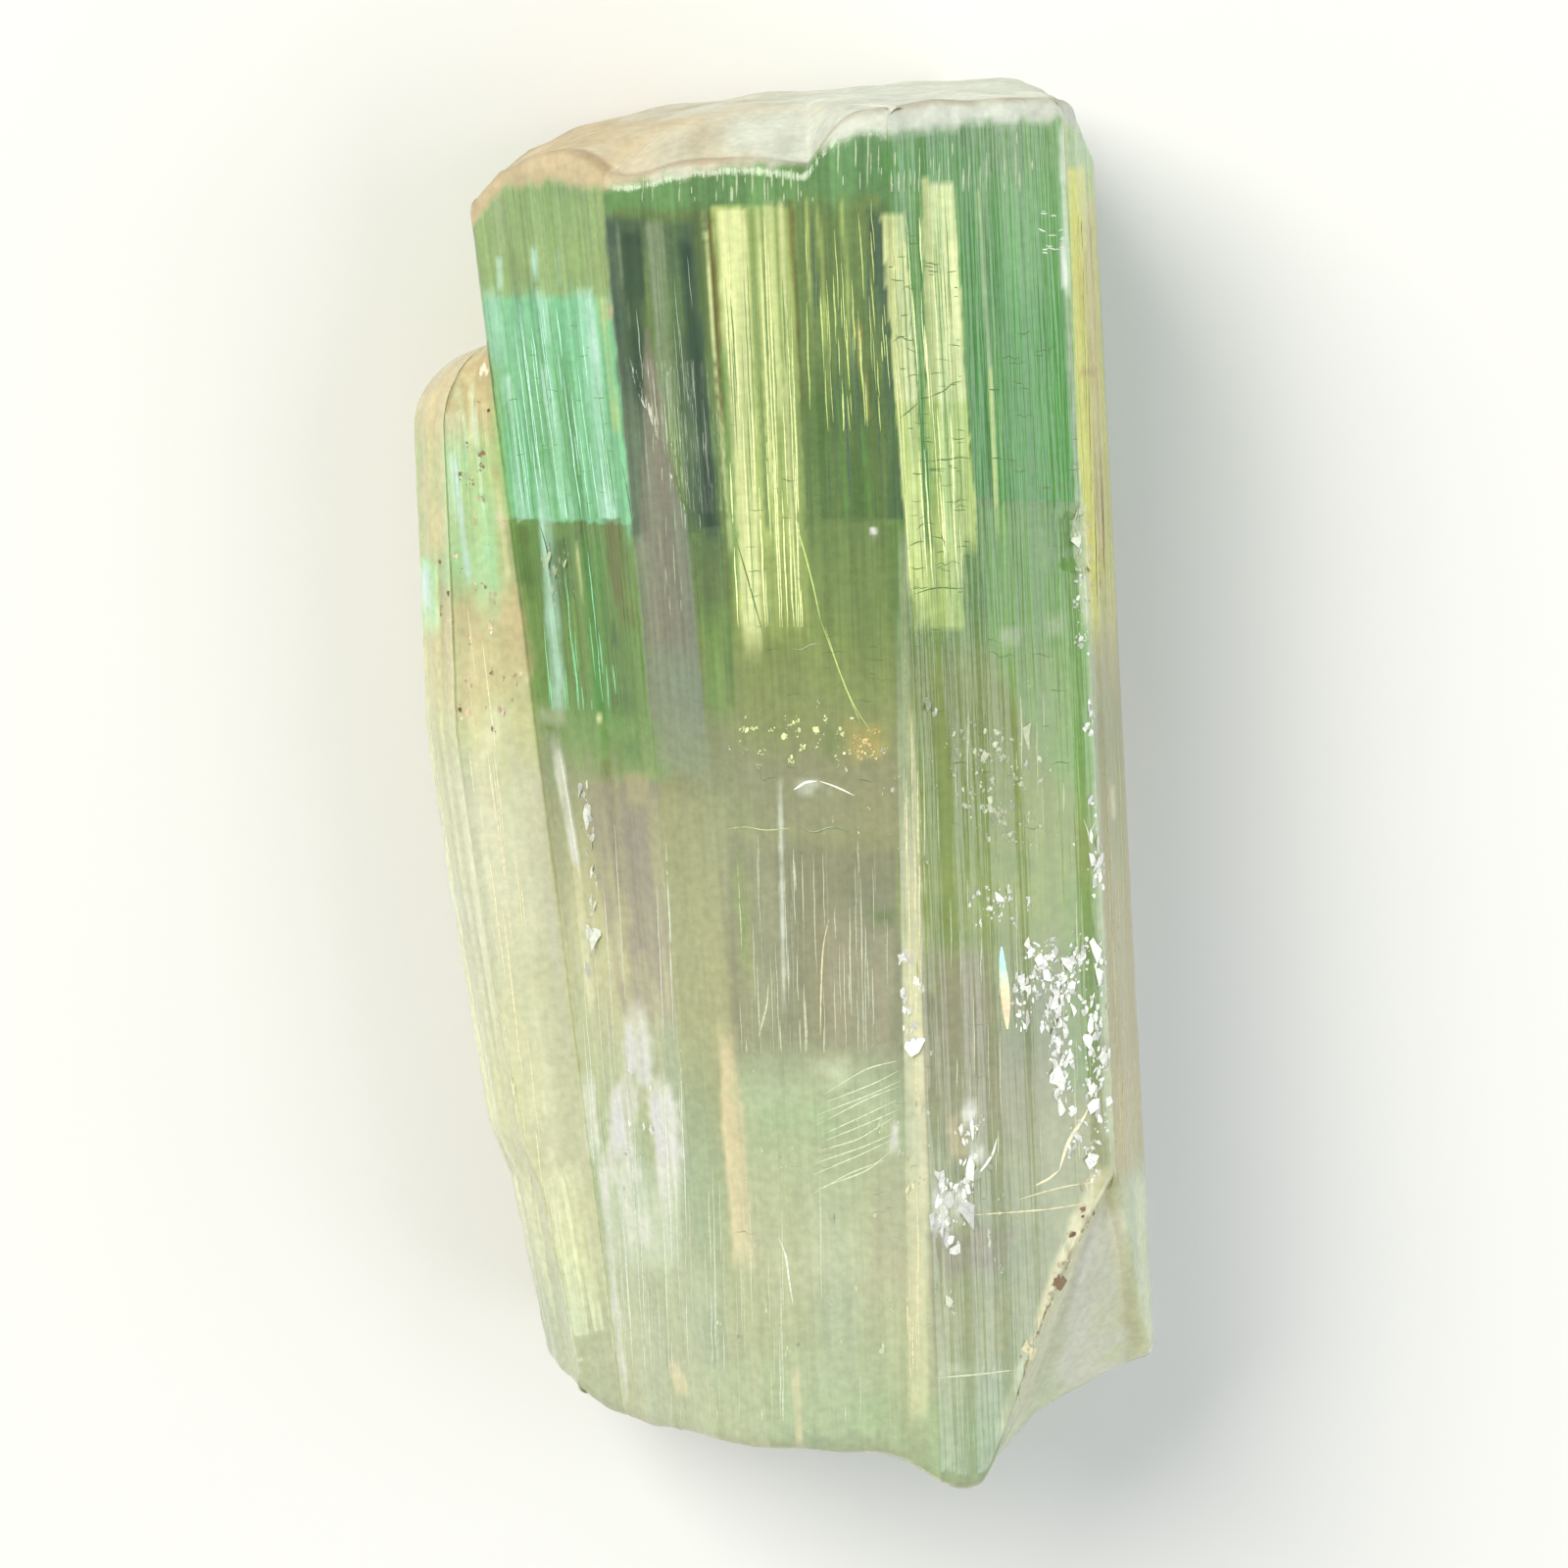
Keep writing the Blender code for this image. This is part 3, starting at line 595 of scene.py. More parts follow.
# The olive band, its dark strips and its bright lines are a painted reflection of a back face.
OLIVE_BAND_MARKS = (
    ("ground of the band", "olive", 0.92, (811, 898, 197), (818, 910, 380), 4, 6, 30, 2),
    ("dark foot of it", "deep olive", 0.85, (820, 912, 380), (828, 925, 530), 5, 60, 1, 3),
    ("first bright line", "pale lime", 0.85, (820, 823, 203), (828, 830, 330), 2, 4, 20, 1),
    ("second bright line", "pale lime", 0.8, (833, 837, 214), (846, 849, 400), 2, 15, 40, 1),
    ("third bright line", "pale lime", 0.75, (857, 860, 206), (868, 871, 360), 2, 4, 30, 1),
    ("golden line", "gold", 0.9, (873, 877, 330), (884, 888, 425), 2, 14, 14, 1),
    ("dark strip", "dark teal", 0.9, (884, 899, 214), (903, 917, 400), 3, 8, 30, 2),
    ("its foot", "dark teal", 0.8, (899, 914, 400), (907, 925, 530), 3, 30, 1, 2),
    ("lighter line in the foot", "leaf green", 0.8, (852, 857, 400), (862, 867, 529), 2, 20, 1, 2),
    ("second line in the foot", "leaf green", 0.75, (878, 881, 430), (887, 890, 528), 2, 20, 1, 2),
    ("ground below the step", "olive", 0.75, (826, 925, 532), (836, 930, 690), 6, 1, 60, 3),
    ("dark beside the ridge", "deep olive", 0.6, (897, 914, 534), (905, 920, 640), 6, 4, 60, 3),
    ("white tick", "white", 1.0, (887, 894, 538), (889, 896, 546), 3, 3, 3, 0),
)
# The bright columns of the second band, and the green between them, are painted reflections of the back faces.
SECOND_BAND_MARKS = (
    ("green over it", "sea green", 0.5, (898, 1004, 150), (898, 1004, 184), 10, 10, 3, 3),
    ("left column", "lime", 1.0, (899, 922, 217), (914, 936, 408), 2, 1, 1, 2),
    ("its foot", "pale lime", 1.0, (914, 936, 408), (928, 949, 612), 3, 1, 30, 3),
    ("line in the gap", "leaf green", 0.8, (925, 938, 186), (938, 946, 430), 3, 3, 20, 1),
    ("right column", "lime", 1.0, (940, 973, 184), (946, 987, 408), 2, 1, 1, 2),
    ("its lower part", "pale lime", 1.0, (944, 987, 408), (952, 998, 560), 3, 1, 30, 3),
    ("green line in it", "apple", 0.8, (956, 959, 190), (966, 969, 560), 2, 4, 30, 1),
    ("ragged foot", "pale lime", 0.75, (932, 984, 560), (936, 982, 640), 5, 20, 10, 8),
    ("deep green beside it", "sea green", 0.8, (976, 994, 190), (998, 1008, 510), 4, 12, 1, 1),
    ("left line of a pair", "apple", 0.95, (996, 1000, 194), (1010, 1013, 396), 2, 8, 2, 0),
    ("right line of the pair", "apple", 0.85, (1006, 1009, 194), (1016, 1019, 396), 2, 8, 2, 0),
    ("left line, lower pair", "pale lime", 0.9, (1008, 1013, 380), (1016, 1020, 547), 2, 2, 30, 0),
    ("right line, lower pair", "apple", 0.85, (1017, 1020, 401), (1025, 1028, 547), 2, 2, 30, 0),
)
RIGHT_GREEN_MARKS = (
    ("green ground", "sea green", 0.8, (1004, 1090, 180), (1020, 1110, 511), 5, 30, 1, 2),
    ("deeper green", "sea green", 0.9, (1045, 1098, 300), (1036, 1112, 511), 22, 80, 1, 3),
    ("clearer right part", "jade", 0.45, (1020, 1084, 180), (1030, 1100, 300), 12, 30, 60, 4),
    ("ground below the step", "leaf green", 0.6, (998, 1110, 513), (1008, 1114, 650), 5, 1, 60, 4),
    ("green inside the edge", "fern", 0.85, (1086, 1112, 560), (1098, 1121, 840), 10, 60, 60, 4),
    ("green down to the crackle", "leaf green", 0.6, (1000, 1112, 640), (1076, 1122, 800), 16, 30, 60, 6),
    ("deeper green inside the edge", "grass", 0.6, (1084, 1122, 900), (1090, 1126, 1120), 8, 40, 40, 5),
    ("dark smudge", "grass", 0.6, (1030, 1080, 472), (1034, 1084, 480), 8, 5, 5, 3),
    ("second dark smudge", "grass", 0.5, (1040, 1094, 491), (1044, 1096, 500), 8, 5, 5, 3),
    ("white cloud", "milk green", 0.7, (1021, 1040, 641), (1021, 1040, 660), 8, 8, 8, 5),
    ("second white cloud", "milk green", 0.65, (1067, 1083, 628), (1067, 1083, 649), 8, 8, 8, 5),
    ("pale line along the edge", "frost", 0.7, (1080, 1086, 132), (1086, 1093, 300), 3, 10, 1, 2),
    # A painted highlight on the right front edge.
    ("bright line along the edge", "white", 0.95, (1081, 1087, 248), (1084, 1090, 292), 3, 5, 8, 2),
    ("fainter line below it", "milk green", 0.8, (1086, 1093, 300), (1098, 1105, 520), 3, 1, 10, 2),
    ("pale line down the edge", "milk green", 0.9, (1108, 1114, 590), (1129, 1136, 1180), 3, 20, 40, 2),
)
RIGHT_SIDE_MARKS = (
    ("pale green top", "sage", 0.8, (1086, 1112, 140), (1092, 1114, 178), 5, 6, 16, 2),
    ("yellow strip", "yellow", 1.0, (1090, 1106, 172), (1102, 1119, 480), 3, 10, 1, 1),
    ("its foot", "yellow", 0.85, (1103, 1118, 480), (1112, 1123, 630), 3, 1, 80, 1),
    ("tan strip", "khaki", 0.8, (1106, 1114, 200), (1121, 1129, 560), 2, 10, 30, 1),
    ("brown line", "brown", 0.6, (1106, 1108, 250), (1119, 1121, 540), 2, 20, 30, 1),
    ("second brown line", "brown", 0.5, (1112, 1114, 230), (1126, 1128, 560), 2, 20, 30, 1),
    ("brown cross mark", "rust", 0.7, (1102, 1120, 376), (1102, 1121, 384), 4, 2, 2, 2),
    ("green tinge", "fern", 0.35, (1122, 1140, 700), (1134, 1150, 900), 6, 40, 60, 3),
    ("cream line below", "cream", 0.9, (1132, 1137, 800), (1134, 1139, 836), 2, 6, 8, 1),
    ("bruise in the bite", "milk", 0.7, (1092, 1110, 518), (1096, 1113, 574), 4, 5, 8, 6),
    ("chipped edge", "milk", 0.7, (1100, 1110, 574), (1106, 1113, 640), 3, 6, 20, 3),
    ("tan foot", "khaki", 0.6, (1140, 1160, 1090), (1142, 1160, 1190), 6, 40, 10, 4),
)
MIDDLE_MARKS = (
    ("golden patch", "gold", 0.85, (864, 898, 736), (868, 900, 774), 12, 8, 8, 6),
    ("dark patch", "deep olive", 0.5, (838, 856, 736), (840, 857, 776), 9, 10, 10, 5),
    ("green haze in the middle", "moss", 0.5, (745, 915, 660), (748, 920, 760), 14, 40, 30, 8),
    ("darker ground over the feather", "clay", 0.5, (760, 912, 776), (764, 915, 850), 14, 20, 6, 6),
    ("white feather", "frost", 0.7, (812, 838, 796), (818, 846, 810), 8, 5, 5, 5),
    ("ridge's green line", "milk green", 0.8, (917, 925, 550), (921, 929, 720), 2, 20, 20, 1),
    # A painted highlight along the ridge.
    ("white ridge line", "cream", 0.9, (926, 931, 730), (933, 938, 842), 2, 20, 30, 1),
    ("ridge strip", "cream", 0.45, (921, 939, 842), (927, 947, 1450), 3, 30, 20, 1),
    ("pink ridge", "peach", 0.45, (934, 944, 1040), (940, 950, 1250), 3, 30, 30, 1),
    ("dark line beside the ridge", "grey pink", 0.8, (947, 951, 1220), (950, 954, 1452), 2, 20, 6, 1),
    ("dark line left of the ridge", "moss", 0.7, (912, 916, 850), (916, 920, 960), 2, 20, 20, 1),
)
LOWER_MARKS = (
    ("pale left part", "straw", 0.5, (745, 790, 850), (760, 800, 1060), 12, 10, 60, 3),
    ("long bright line", "frost", 0.75, (794, 798, 798), (798, 802, 1018), 2, 20, 30, 1),
    ("dark line beside it", "clay", 0.8, (800, 803, 820), (804, 806, 1018), 2, 20, 30, 1),
    ("dark strip on the left", "moss", 0.5, (748, 760, 880), (756, 772, 1000), 5, 20, 30, 3),
    ("pink brown region", "pink brown", 0.85, (840, 912, 930), (842, 912, 1070), 8, 16, 40, 4),
    ("milky cloud over the foot", "milk green", 0.8, (752, 905, 1086), (760, 905, 1140), 22, 40, 30, 8),
    ("green haze in the cloud", "sage", 0.6, (770, 860, 1130), (776, 850, 1160), 20, 16, 14, 8),
    ("pale heart of the cloud", "milk", 0.7, (830, 868, 1078), (826, 866, 1108), 14, 14, 14, 6),
    ("grey cloud by the ridge", "pink brown", 0.45, (884, 926, 1180), (886, 930, 1320), 12, 30, 40, 4),
    ("green smudge by the ridge", "deep olive", 0.7, (874, 911, 926), (884, 913, 950), 8, 6, 8, 6),
    ("green smudge past the ridge", "deep olive", 0.7, (954, 1032, 948), (954, 1032, 964), 9, 6, 6, 5),
    ("green smudge over it", "deep olive", 0.5, (955, 984, 912), (955, 981, 944), 8, 8, 8, 5),
    ("green smudge to the right", "deep olive", 0.55, (1018, 1053, 873), (1018, 1053, 889), 8, 6, 6, 5),
    ("olive region", "moss", 0.5, (955, 1098, 870), (955, 1120, 1060), 24, 60, 60, 8),
    ("green line of smudges", "grass", 0.4, (1030, 1064, 1040), (1030, 1062, 1062), 10, 8, 8, 6),
    ("brown region", "pink brown", 0.85, (956, 1012, 970), (958, 1008, 1076), 8, 12, 20, 4),
    ("grey region below", "pink brown", 0.5, (952, 1040, 1080), (956, 1050, 1150), 16, 30, 30, 6),
    ("small white patch", "white", 0.85, (984, 994, 1125), (984, 994, 1152), 4, 6, 6, 4),
    ("white patch by the ridge", "white", 0.9, (908, 919, 1150), (906, 919, 1172), 4, 8, 6, 3),
    ("peach patch", "peach", 0.7, (968, 984, 1146), (968, 984, 1184), 6, 10, 10, 5),
    ("white beside it", "white", 0.8, (986, 1004, 1168), (990, 1004, 1186), 5, 6, 6, 4),
    ("dark knot", "grey pink", 0.8, (974, 984, 1190), (974, 984, 1198), 4, 4, 4, 3),
    ("large white patch", "white", 0.9, (954, 964, 1204), (956, 964, 1256), 4, 12, 14, 5),
    ("its right half", "white", 0.95, (974, 990, 1208), (974, 984, 1248), 4, 8, 10, 5),
    ("grey patch below it", "grey pink", 0.75, (956, 1036, 1256), (956, 1020, 1300), 12, 8, 12, 8),
    ("lighter foot on the right", "straw", 0.6, (962, 1062, 1310), (962, 1030, 1392), 18, 20, 12, 6),
    ("pale cross line", "milk", 0.7, (957, 1041, 1397), (957, 1041, 1403), 3, 3, 3, 2),
    ("peach streak", "peach", 0.75, (807, 815, 1397), (812, 820, 1476), 2, 10, 6, 1),
    ("green foot", "milk green", 0.7, (700, 905, 1390), (700, 905, 1465), 30, 40, 4, 6),
    ("green tooth", "sage", 0.6, (945, 1022, 1430), (950, 1016, 1515), 12, 30, 2, 5),
    ("green corner of the foot", "sage", 0.5, (868, 905, 1420), (868, 905, 1458), 14, 14, 6, 5),
)
SIDE_MARKS = (
    ("tan top", "tan", 0.8, (446, 500, 352), (436, 500, 420), 12, 6, 30, 5),
    ("cream streak", "cream", 0.95, (478, 484, 388), (480, 486, 450), 3, 12, 14, 2),
    ("second cream streak", "cream", 0.8, (464, 468, 396), (480, 484, 470), 3, 10, 14, 2),
    ("mint streak", "ice", 0.95, (460, 465, 466), (476, 481, 592), 3, 14, 14, 1),
    ("green patch", "mint", 0.45, (486, 508, 500), (490, 512, 640), 8, 30, 30, 4),
    ("mint haze", "mint", 0.35, (440, 500, 440), (450, 500, 600), 14, 30, 30, 5),
    ("peach line", "peach", 1.0, (504, 510, 490), (516, 521, 588), 3, 6, 8, 2),
    ("brown specks", "rust", 0.7, (501, 507, 478), (505, 509, 492), 2, 4, 4, 3),
    ("tan patch", "tan", 0.85, (508, 530, 600), (520, 546, 690), 8, 30, 6, 5),
    ("peach tip", "peach", 1.0, (530, 545, 684), (534, 542, 700), 4, 4, 4, 4),
    ("mint spot", "mint", 1.0, (428, 442, 572), (430, 450, 644), 6, 10, 14, 2),
    ("heart of the spot", "ice", 0.7, (428, 436, 580), (430, 440, 620), 4, 8, 8, 2),
    ("tan outer edge", "tan", 0.8, (428, 450, 400), (432, 458, 566), 8, 20, 10, 4),
    ("tan ground below", "tan", 0.5, (440, 520, 620), (444, 520, 760), 16, 30, 60, 8),
    ("peach flame", "peach", 0.95, (500, 514, 720), (484, 508, 776), 6, 14, 8, 6),
    ("heart of the flame", "lime", 0.7, (504, 509, 740), (492, 500, 774), 3, 8, 8, 4),
    ("cream foot", "cream", 0.6, (455, 545, 790), (490, 560, 960), 16, 40, 60, 5),
    ("green shade by the prism", "sprig", 0.6, (520, 546, 700), (532, 556, 780), 8, 16, 30, 3),
    ("peach haze low down", "peach", 0.35, (520, 560, 1040), (540, 575, 1200), 12, 60, 40, 4),
    ("peach streak low down", "peach", 0.6, (560, 568, 1170), (566, 574, 1262), 3, 16, 16, 2),
)
CHIP_MARKS = (
    ("satin hollow", "frost", 0.95, (1108, 1150, 1236), (1080, 1146, 1412), 8, 12, 6, 4),
    ("grey green in the hollow", "grey green", 0.5, (1120, 1150, 1320), (1110, 1150, 1360), 12, 14, 12, 5),
    ("green outer wall", "milk green", 0.8, (1150, 1160, 1205), (1152, 1166, 1400), 4, 10, 10, 3),
    ("pale outer strip", "milk", 0.8, (1158, 1168, 1200), (1162, 1177, 1390), 3, 20, 6, 2),
    ("top of the lip", "cream", 0.95, (1116, 1136, 1192), (1082, 1106, 1272), 5, 10, 1, 5),
    ("middle of the lip", "cream", 0.9, (1082, 1104, 1272), (1052, 1076, 1356), 5, 1, 1, 5),
    ("foot of the lip", "milk", 0.9, (1052, 1074, 1356), (1014, 1040, 1462), 5, 1, 10, 4),
    ("dark line inside the lip", "pink brown", 0.7, (1083, 1090, 1290), (1036, 1044, 1440), 3, 10, 14, 4),
    ("brown spot", "rust", 0.9, (1104, 1112, 1241), (1104, 1112, 1252), 4, 3, 3, 2),
    ("second brown spot", "rust", 0.8, (1088, 1094, 1276), (1088, 1094, 1292), 4, 3, 3, 2),
    ("third brown spot", "rust", 0.7, (1140, 1156, 1334), (1140, 1156, 1352), 6, 5, 5, 4),
    ("green spot", "fern", 0.8, (1130, 1150, 1370), (1130, 1150, 1388), 6, 5, 5, 4),
)
MARKS = {  # how much softer and more ragged than written, and how far growth lines and patches break it up
    "left face": (1.0, 0.40, 0.30, LEFT_FACE_MARKS),
    "wedge": (1.0, 0.25, 0.15, WEDGE_MARKS),
    "bright band": (1.0, 0.50, 0.05, BRIGHT_BAND_MARKS),
    "olive band": (1.0, 0.45, 0.30, OLIVE_BAND_MARKS),
    "second band": (1.0, 0.25, 0.12, SECOND_BAND_MARKS),
    "right green": (1.0, 0.10, 0.15, RIGHT_GREEN_MARKS),
    "right side": (1.0, 0.10, 0.05, RIGHT_SIDE_MARKS),
    "middle": (1.8, 0.15, 0.30, MIDDLE_MARKS),
    "lower": (1.8, 0.20, 0.30, LOWER_MARKS),
    "side crystal": (1.8, 0.25, 0.30, SIDE_MARKS),
    "chip": (1.8, 0.00, 0.30, CHIP_MARKS),
}

# The frosted cap starts over this line, as (x, y). Its edge hangs down in small spikes.
CAP_LINE = (
    (480, 240), (500, 206), (516, 192), (560, 186), (606, 192), (640, 187), (700, 176), (790, 170), (812, 160),
    (836, 148), (870, 139), (930, 132), (1000, 126), (1085, 124), (1120, 150),
)
CAP_SPIKE, CAP_BLUR = 5.0, 7.0  # pixels
CAP_LEFT_X, CAP_RIGHT_X = 540, 860  # the cap turns from tan to white between these
RIM_LINE, RIM_PAINTED_LIGHT = 0.22, 0.28  # mm, of the brown line round the flat end and the painted light round the base

LINE_SIZES = ((0.15, 4.0, 0.55), (0.42, 7.0, 0.45))  # mm across and along of growth lines, and their weights
LINE_PAINT, GREEN_LINE_PAINT, CLOUD_PAINT, WARMTH = 0.10, 0.12, 0.10, 0.06  # shares of the tint
CLEAR, CLEAR_BRIGHT, CLEAR_DARK = 0.56, 0.36, 0.42  # share of light let in: the ground, bright and dark marks
LOWER_GLOW, RIGHT_GLOW, FLANK_GLOW = 0.36, 0.10, 0.50  # painted extra light in the clear half, on its right, and in flanks
# Painted light on the broken base, which lies in shadow.
CHIP_GLOW = 0.25
GLOW_TOP, GLOW_LENGTH = 3.5, 8.0  # where it starts, and over what length it grows
SIDE_FOOT_Y, SIDE_FOOT_LENGTH = -15.0, 4.0  # where the side crystal's painted light dies out
BRIGHTEST = 0.93  # the most light that any colour of the stone gives back
SEEN_FACES = tuple(FACE[name] for name in RING[3:11])  # the faces that the photograph shows
PAINT_SEED = 5


def linear(code):
    """An sRGB hex colour as linear red, green and blue, by the sRGB transfer curve."""
    part = np.array([int(code[k : k + 2], 16) for k in (1, 3, 5)]) / 255
    return np.where(part <= 0.04045, part / 12.92, ((part + 0.055) / 1.055) ** 2.4)


def ease(value):
    """An S-curve from 0 to 1 of a value clipped to that range: three times its square less twice its cube."""
    value = np.clip(value, 0, 1)
    return value * value * (3 - 2 * value)


def towards(values, aim, share):
    """Values moved to an aim by a share, 0 to 1."""
    return values + (aim - values) * share


def in_photo(points):
    """Where points fall in the photograph's frame: their offsets across and up, over their depth, times the
    focal length."""
    away = points - CAMERA_PLACE
    depth = -(away @ TOWARDS_VIEWER)
    middle = PHOTO_SIDE / 2
    return middle + FOCAL * away[:, 0] / depth, middle - FOCAL * (away @ VIEW_UP) / depth


def rough_edge(along, across, seed):
    """A ragged outline's offset, about -1 to 1: unevenness of a broad, a middle and a fine size, summed."""
    sizes = ((21.0, 0.45), (8.0, 0.35), (3.0, 0.20))  # pixels, and weights
    return sum(weight * mottle(along / size, across / (3 * size), seed + k) for k, (size, weight) in enumerate(sizes))


def cover(px, py, top, foot, soft, fade_top, fade_foot, ragged, seed):
    """How far a mark covers each place, 0 to 1: eased distances in from the two sides, the top and the foot of
    a quadrilateral, with a ragged offset added to each."""
    lift = ragged * rough_edge(px, py, seed + 3)
    along = np.clip((py - top[2]) / (foot[2] - top[2]), 0, 1)
    left = top[0] + (foot[0] - top[0]) * along
    right = top[1] + (foot[1] - top[1]) * along
    inside = np.minimum(px - left, right - px) + ragged * rough_edge(py, px, seed)
    under = (py - top[2] + lift) / max(fade_top, 0.5)
    over = (foot[2] - py + lift) / max(fade_foot, 0.5)
    return ease(inside / soft + 0.5) * ease(under + 0.5) * ease(over + 0.5)


def covered(px, py, shape, seed):
    """The places in a mark's own box, and how far it covers each of them."""
    top, foot, *softness = shape
    margin = max(softness) + 2 * softness[-1] + 2
    near = (px > min(top[0], foot[0]) - margin) & (px < max(top[1], foot[1]) + margin)
    near &= (py > top[2] - margin) & (py < foot[2] + margin)
    near = np.flatnonzero(near)
    return near, cover(px[near], py[near], top, foot, *softness, seed)


def ground_colour(y, face):
    """The colour of each point's zone: its face's stops, blended along the height."""
    colour = np.zeros((len(y), 3))
    for zone, stops in ZONES.items():
        heights, names = zip(*reversed(stops))
        levels = np.array([linear(PALETTE[name]) for name in names])
        own = np.flatnonzero(np.array([z == zone for z in ZONE_OF_FACE])[face])
        for channel in range(3):
            colour[own, channel] = np.interp(y[own], heights, levels[:, channel])
    return colour


def growth_lines(lane, y, seed):
    """Unevenness in fine lines along the crystal, about -1 to 1: stretched unevenness of two widths, summed."""
    return sum(
        weight * mottle(lane / width, y / length, seed + k) for k, (width, length, weight) in enumerate(LINE_SIZES)
    )


def cap_cover(px, py, y, lane, face):
    """How far the frosted cap covers each place: a spiky line in the photograph's frame, and a level elsewhere."""
    spikes = mottle(lane / 0.22, 0.4, PAINT_SEED + 1) + 0.6 * mottle(lane / 0.9, 0.7, PAINT_SEED + 2)
    line_x, line_y = zip(*CAP_LINE)
    seen = ease((np.interp(px, line_x, line_y) + CAP_SPIKE * spikes - py) / (2 * CAP_BLUR) + 0.5)
    hidden = ease((y - 14.9 + 0.12 * spikes) / 0.4)
    cap = np.where(np.isin(face, SEEN_FACES), seen, hidden)
    return np.select([face == TOP_FACE, face == BASE_FACE], [1.0, 0.0], cap)


def cap_colour(px, points):
    """The cap's colour: tan turning white across it, mottled, with soft pale streaks down it."""
    x, y, z = points.T
    whiteness = ease((px - CAP_LEFT_X) / (CAP_RIGHT_X - CAP_LEFT_X) + 0.35 * mottle(x / 0.9, z / 0.9, 77))
    cloud = 0.5 + 0.35 * mottle(x / 0.7 + 9, y / 0.5 + z / 0.5, 78) + 0.25 * mottle(x / 0.22, y / 0.35 + z / 0.3, 79)
    colour = towards(linear(PALETTE["tan"]), linear(PALETTE["frost"]), whiteness[:, None])
    colour = towards(colour, linear(PALETTE["peach"]), (0.12 * (1 - whiteness) + 0.04)[:, None])
    return colour * (0.78 + 0.36 * cloud)[:, None]


def painted(points, face, lane, from_base, from_top):
    """The skin's colour, painted light and reflections included, and its finish (clear, frosted, streaked), at every
    point.
    """
    x, y, z = points.T
    ring_face = np.where(face < 0, FACE["ridge_left"], face)
    lines = growth_lines(lane, y, PAINT_SEED)
    cloud = 0.6 * mottle(x / 1.3 + z, y / 1.7, 31) + 0.4 * mottle(x / 0.4 + z, y / 0.6, 32)
    green_end = ease((y - 1.0) / 3.5)
    tint = ground_colour(y + 0.10 * lines, ring_face)
    tint *= (1 + (LINE_PAINT + GREEN_LINE_PAINT * green_end) * lines + CLOUD_PAINT * cloud)[:, None]
    tint *= 1 + WARMTH * mottle(lane / 1.3, y / 4, 33)[:, None] * np.array([1.0, 0.1, -1.2])
    clear = np.full(len(points), CLEAR)
    frost = np.zeros(len(points))
    streak = np.where(np.isin(ring_face, SEEN_FACES[:2]), 0.15, 0.25 + 0.6 * green_end)

    whole_px, whole_py = in_photo(points)
    seen = np.isin(face, SEEN_FACES) | ((face < 0) & (z > 5.0))
    shown = np.flatnonzero(seen)
    px, py = whole_px[shown], whole_py[shown]
    threads = ease(0.5 + 1.1 * lines)
    patches = ease(0.5 + 1.2 * mottle(lane / 0.45, y / 0.7, 34))
    number = 0
    for softer, by_lines, by_patches, marks in MARKS.values():
        kept = 1 - by_lines * threads - by_patches * patches
        for name, colour, strength, *shape in marks:
            number += 1
            shape[2:] = [softer * part for part in shape[2:]]
            near, share = covered(px, py, shape, PAINT_SEED + 7 * number)
            own = shown[near]
            share = strength * share * kept[own]
            tint[own] = towards(tint[own], linear(PALETTE[colour]), share[:, None])
            bright = linear(PALETTE[colour]).mean() > 0.5
            clear[own] = towards(clear[own], CLEAR_BRIGHT if bright else CLEAR_DARK, share)
    # Painted light: the clear half, its right, the side crystal's flanks and the broken base are brightened, as light
    # comes through them.
    flank = np.isin(ring_face, [FACE[name] for name in SIDE_EDGES]) * ease((y - SIDE_FOOT_Y) / SIDE_FOOT_LENGTH)
    flank = np.where(ring_face == FACE["front_right"], green_end, flank)
    lower = np.where(ring_face == FACE["ridge_right"], RIGHT_GLOW, LOWER_GLOW) * ease((GLOW_TOP - y) / GLOW_LENGTH)
    painted_glow = np.maximum(lower, FLANK_GLOW * flank) + CHIP_GLOW * (face == BASE_FACE)
    tint = np.minimum(tint * (1 + painted_glow)[:, None], BRIGHTEST)
    cap = cap_cover(whole_px, whole_py, y, lane, face)
    tint = towards(tint, cap_colour(whole_px, points), cap[:, None])
    clear = towards(clear, 0.25, cap)
    frost = towards(frost, 0.9, cap)
    streak = towards(streak, 0.1, cap)
    brown_rim = ease(1 - from_top / RIM_LINE) * (0.5 + 0.5 * patches)
    tint = towards(tint, linear(PALETTE["rust"]), 0.55 * brown_rim[:, None] * (face != TOP_FACE)[:, None])

    broken = face == BASE_FACE
    scallop = 0.5 + 0.5 * mottle(x / 1.3, z / 1.3, 35)
    tint[broken] = towards(tint[broken], linear(PALETTE["milk"]), (0.15 + 0.3 * scallop[broken])[:, None])
    frost[broken] = 0.35
    streak[broken] = 0.0
    # Painted light: a bright rim round the base, where light leaks out at its edge.
    painted_rim_light = ease(1 - from_base / RIM_PAINTED_LIGHT) * np.where(broken, 0.5, 1.0)
    tint = towards(tint, linear(PALETTE["cream"]), 0.7 * painted_rim_light[:, None])
    return tint, np.stack([clear, frost, streak], -1)


def add(tree, kind, inputs, **settings):
    """Adds one node to a material: its settings, then its inputs, each a value or the socket that feeds it."""
    made = tree.nodes.new(kind)
    for name, value in settings.items():
        setattr(made, name, value)
    for place, value in inputs.items():
        if isinstance(value, bpy.types.NodeSocket):
            tree.links.new(value, made.inputs[place])
        else:
            made.inputs[place].default_value = value
    return made


# The material is tourmaline, a glassy boron silicate, as it grew: bright faces finely grooved lengthwise, an end
# etched to a frost, and a stone that is clear between its cracks. The eye gets wet gloss broken into long thin
# streaks, a soft end, and light that comes through tinted.

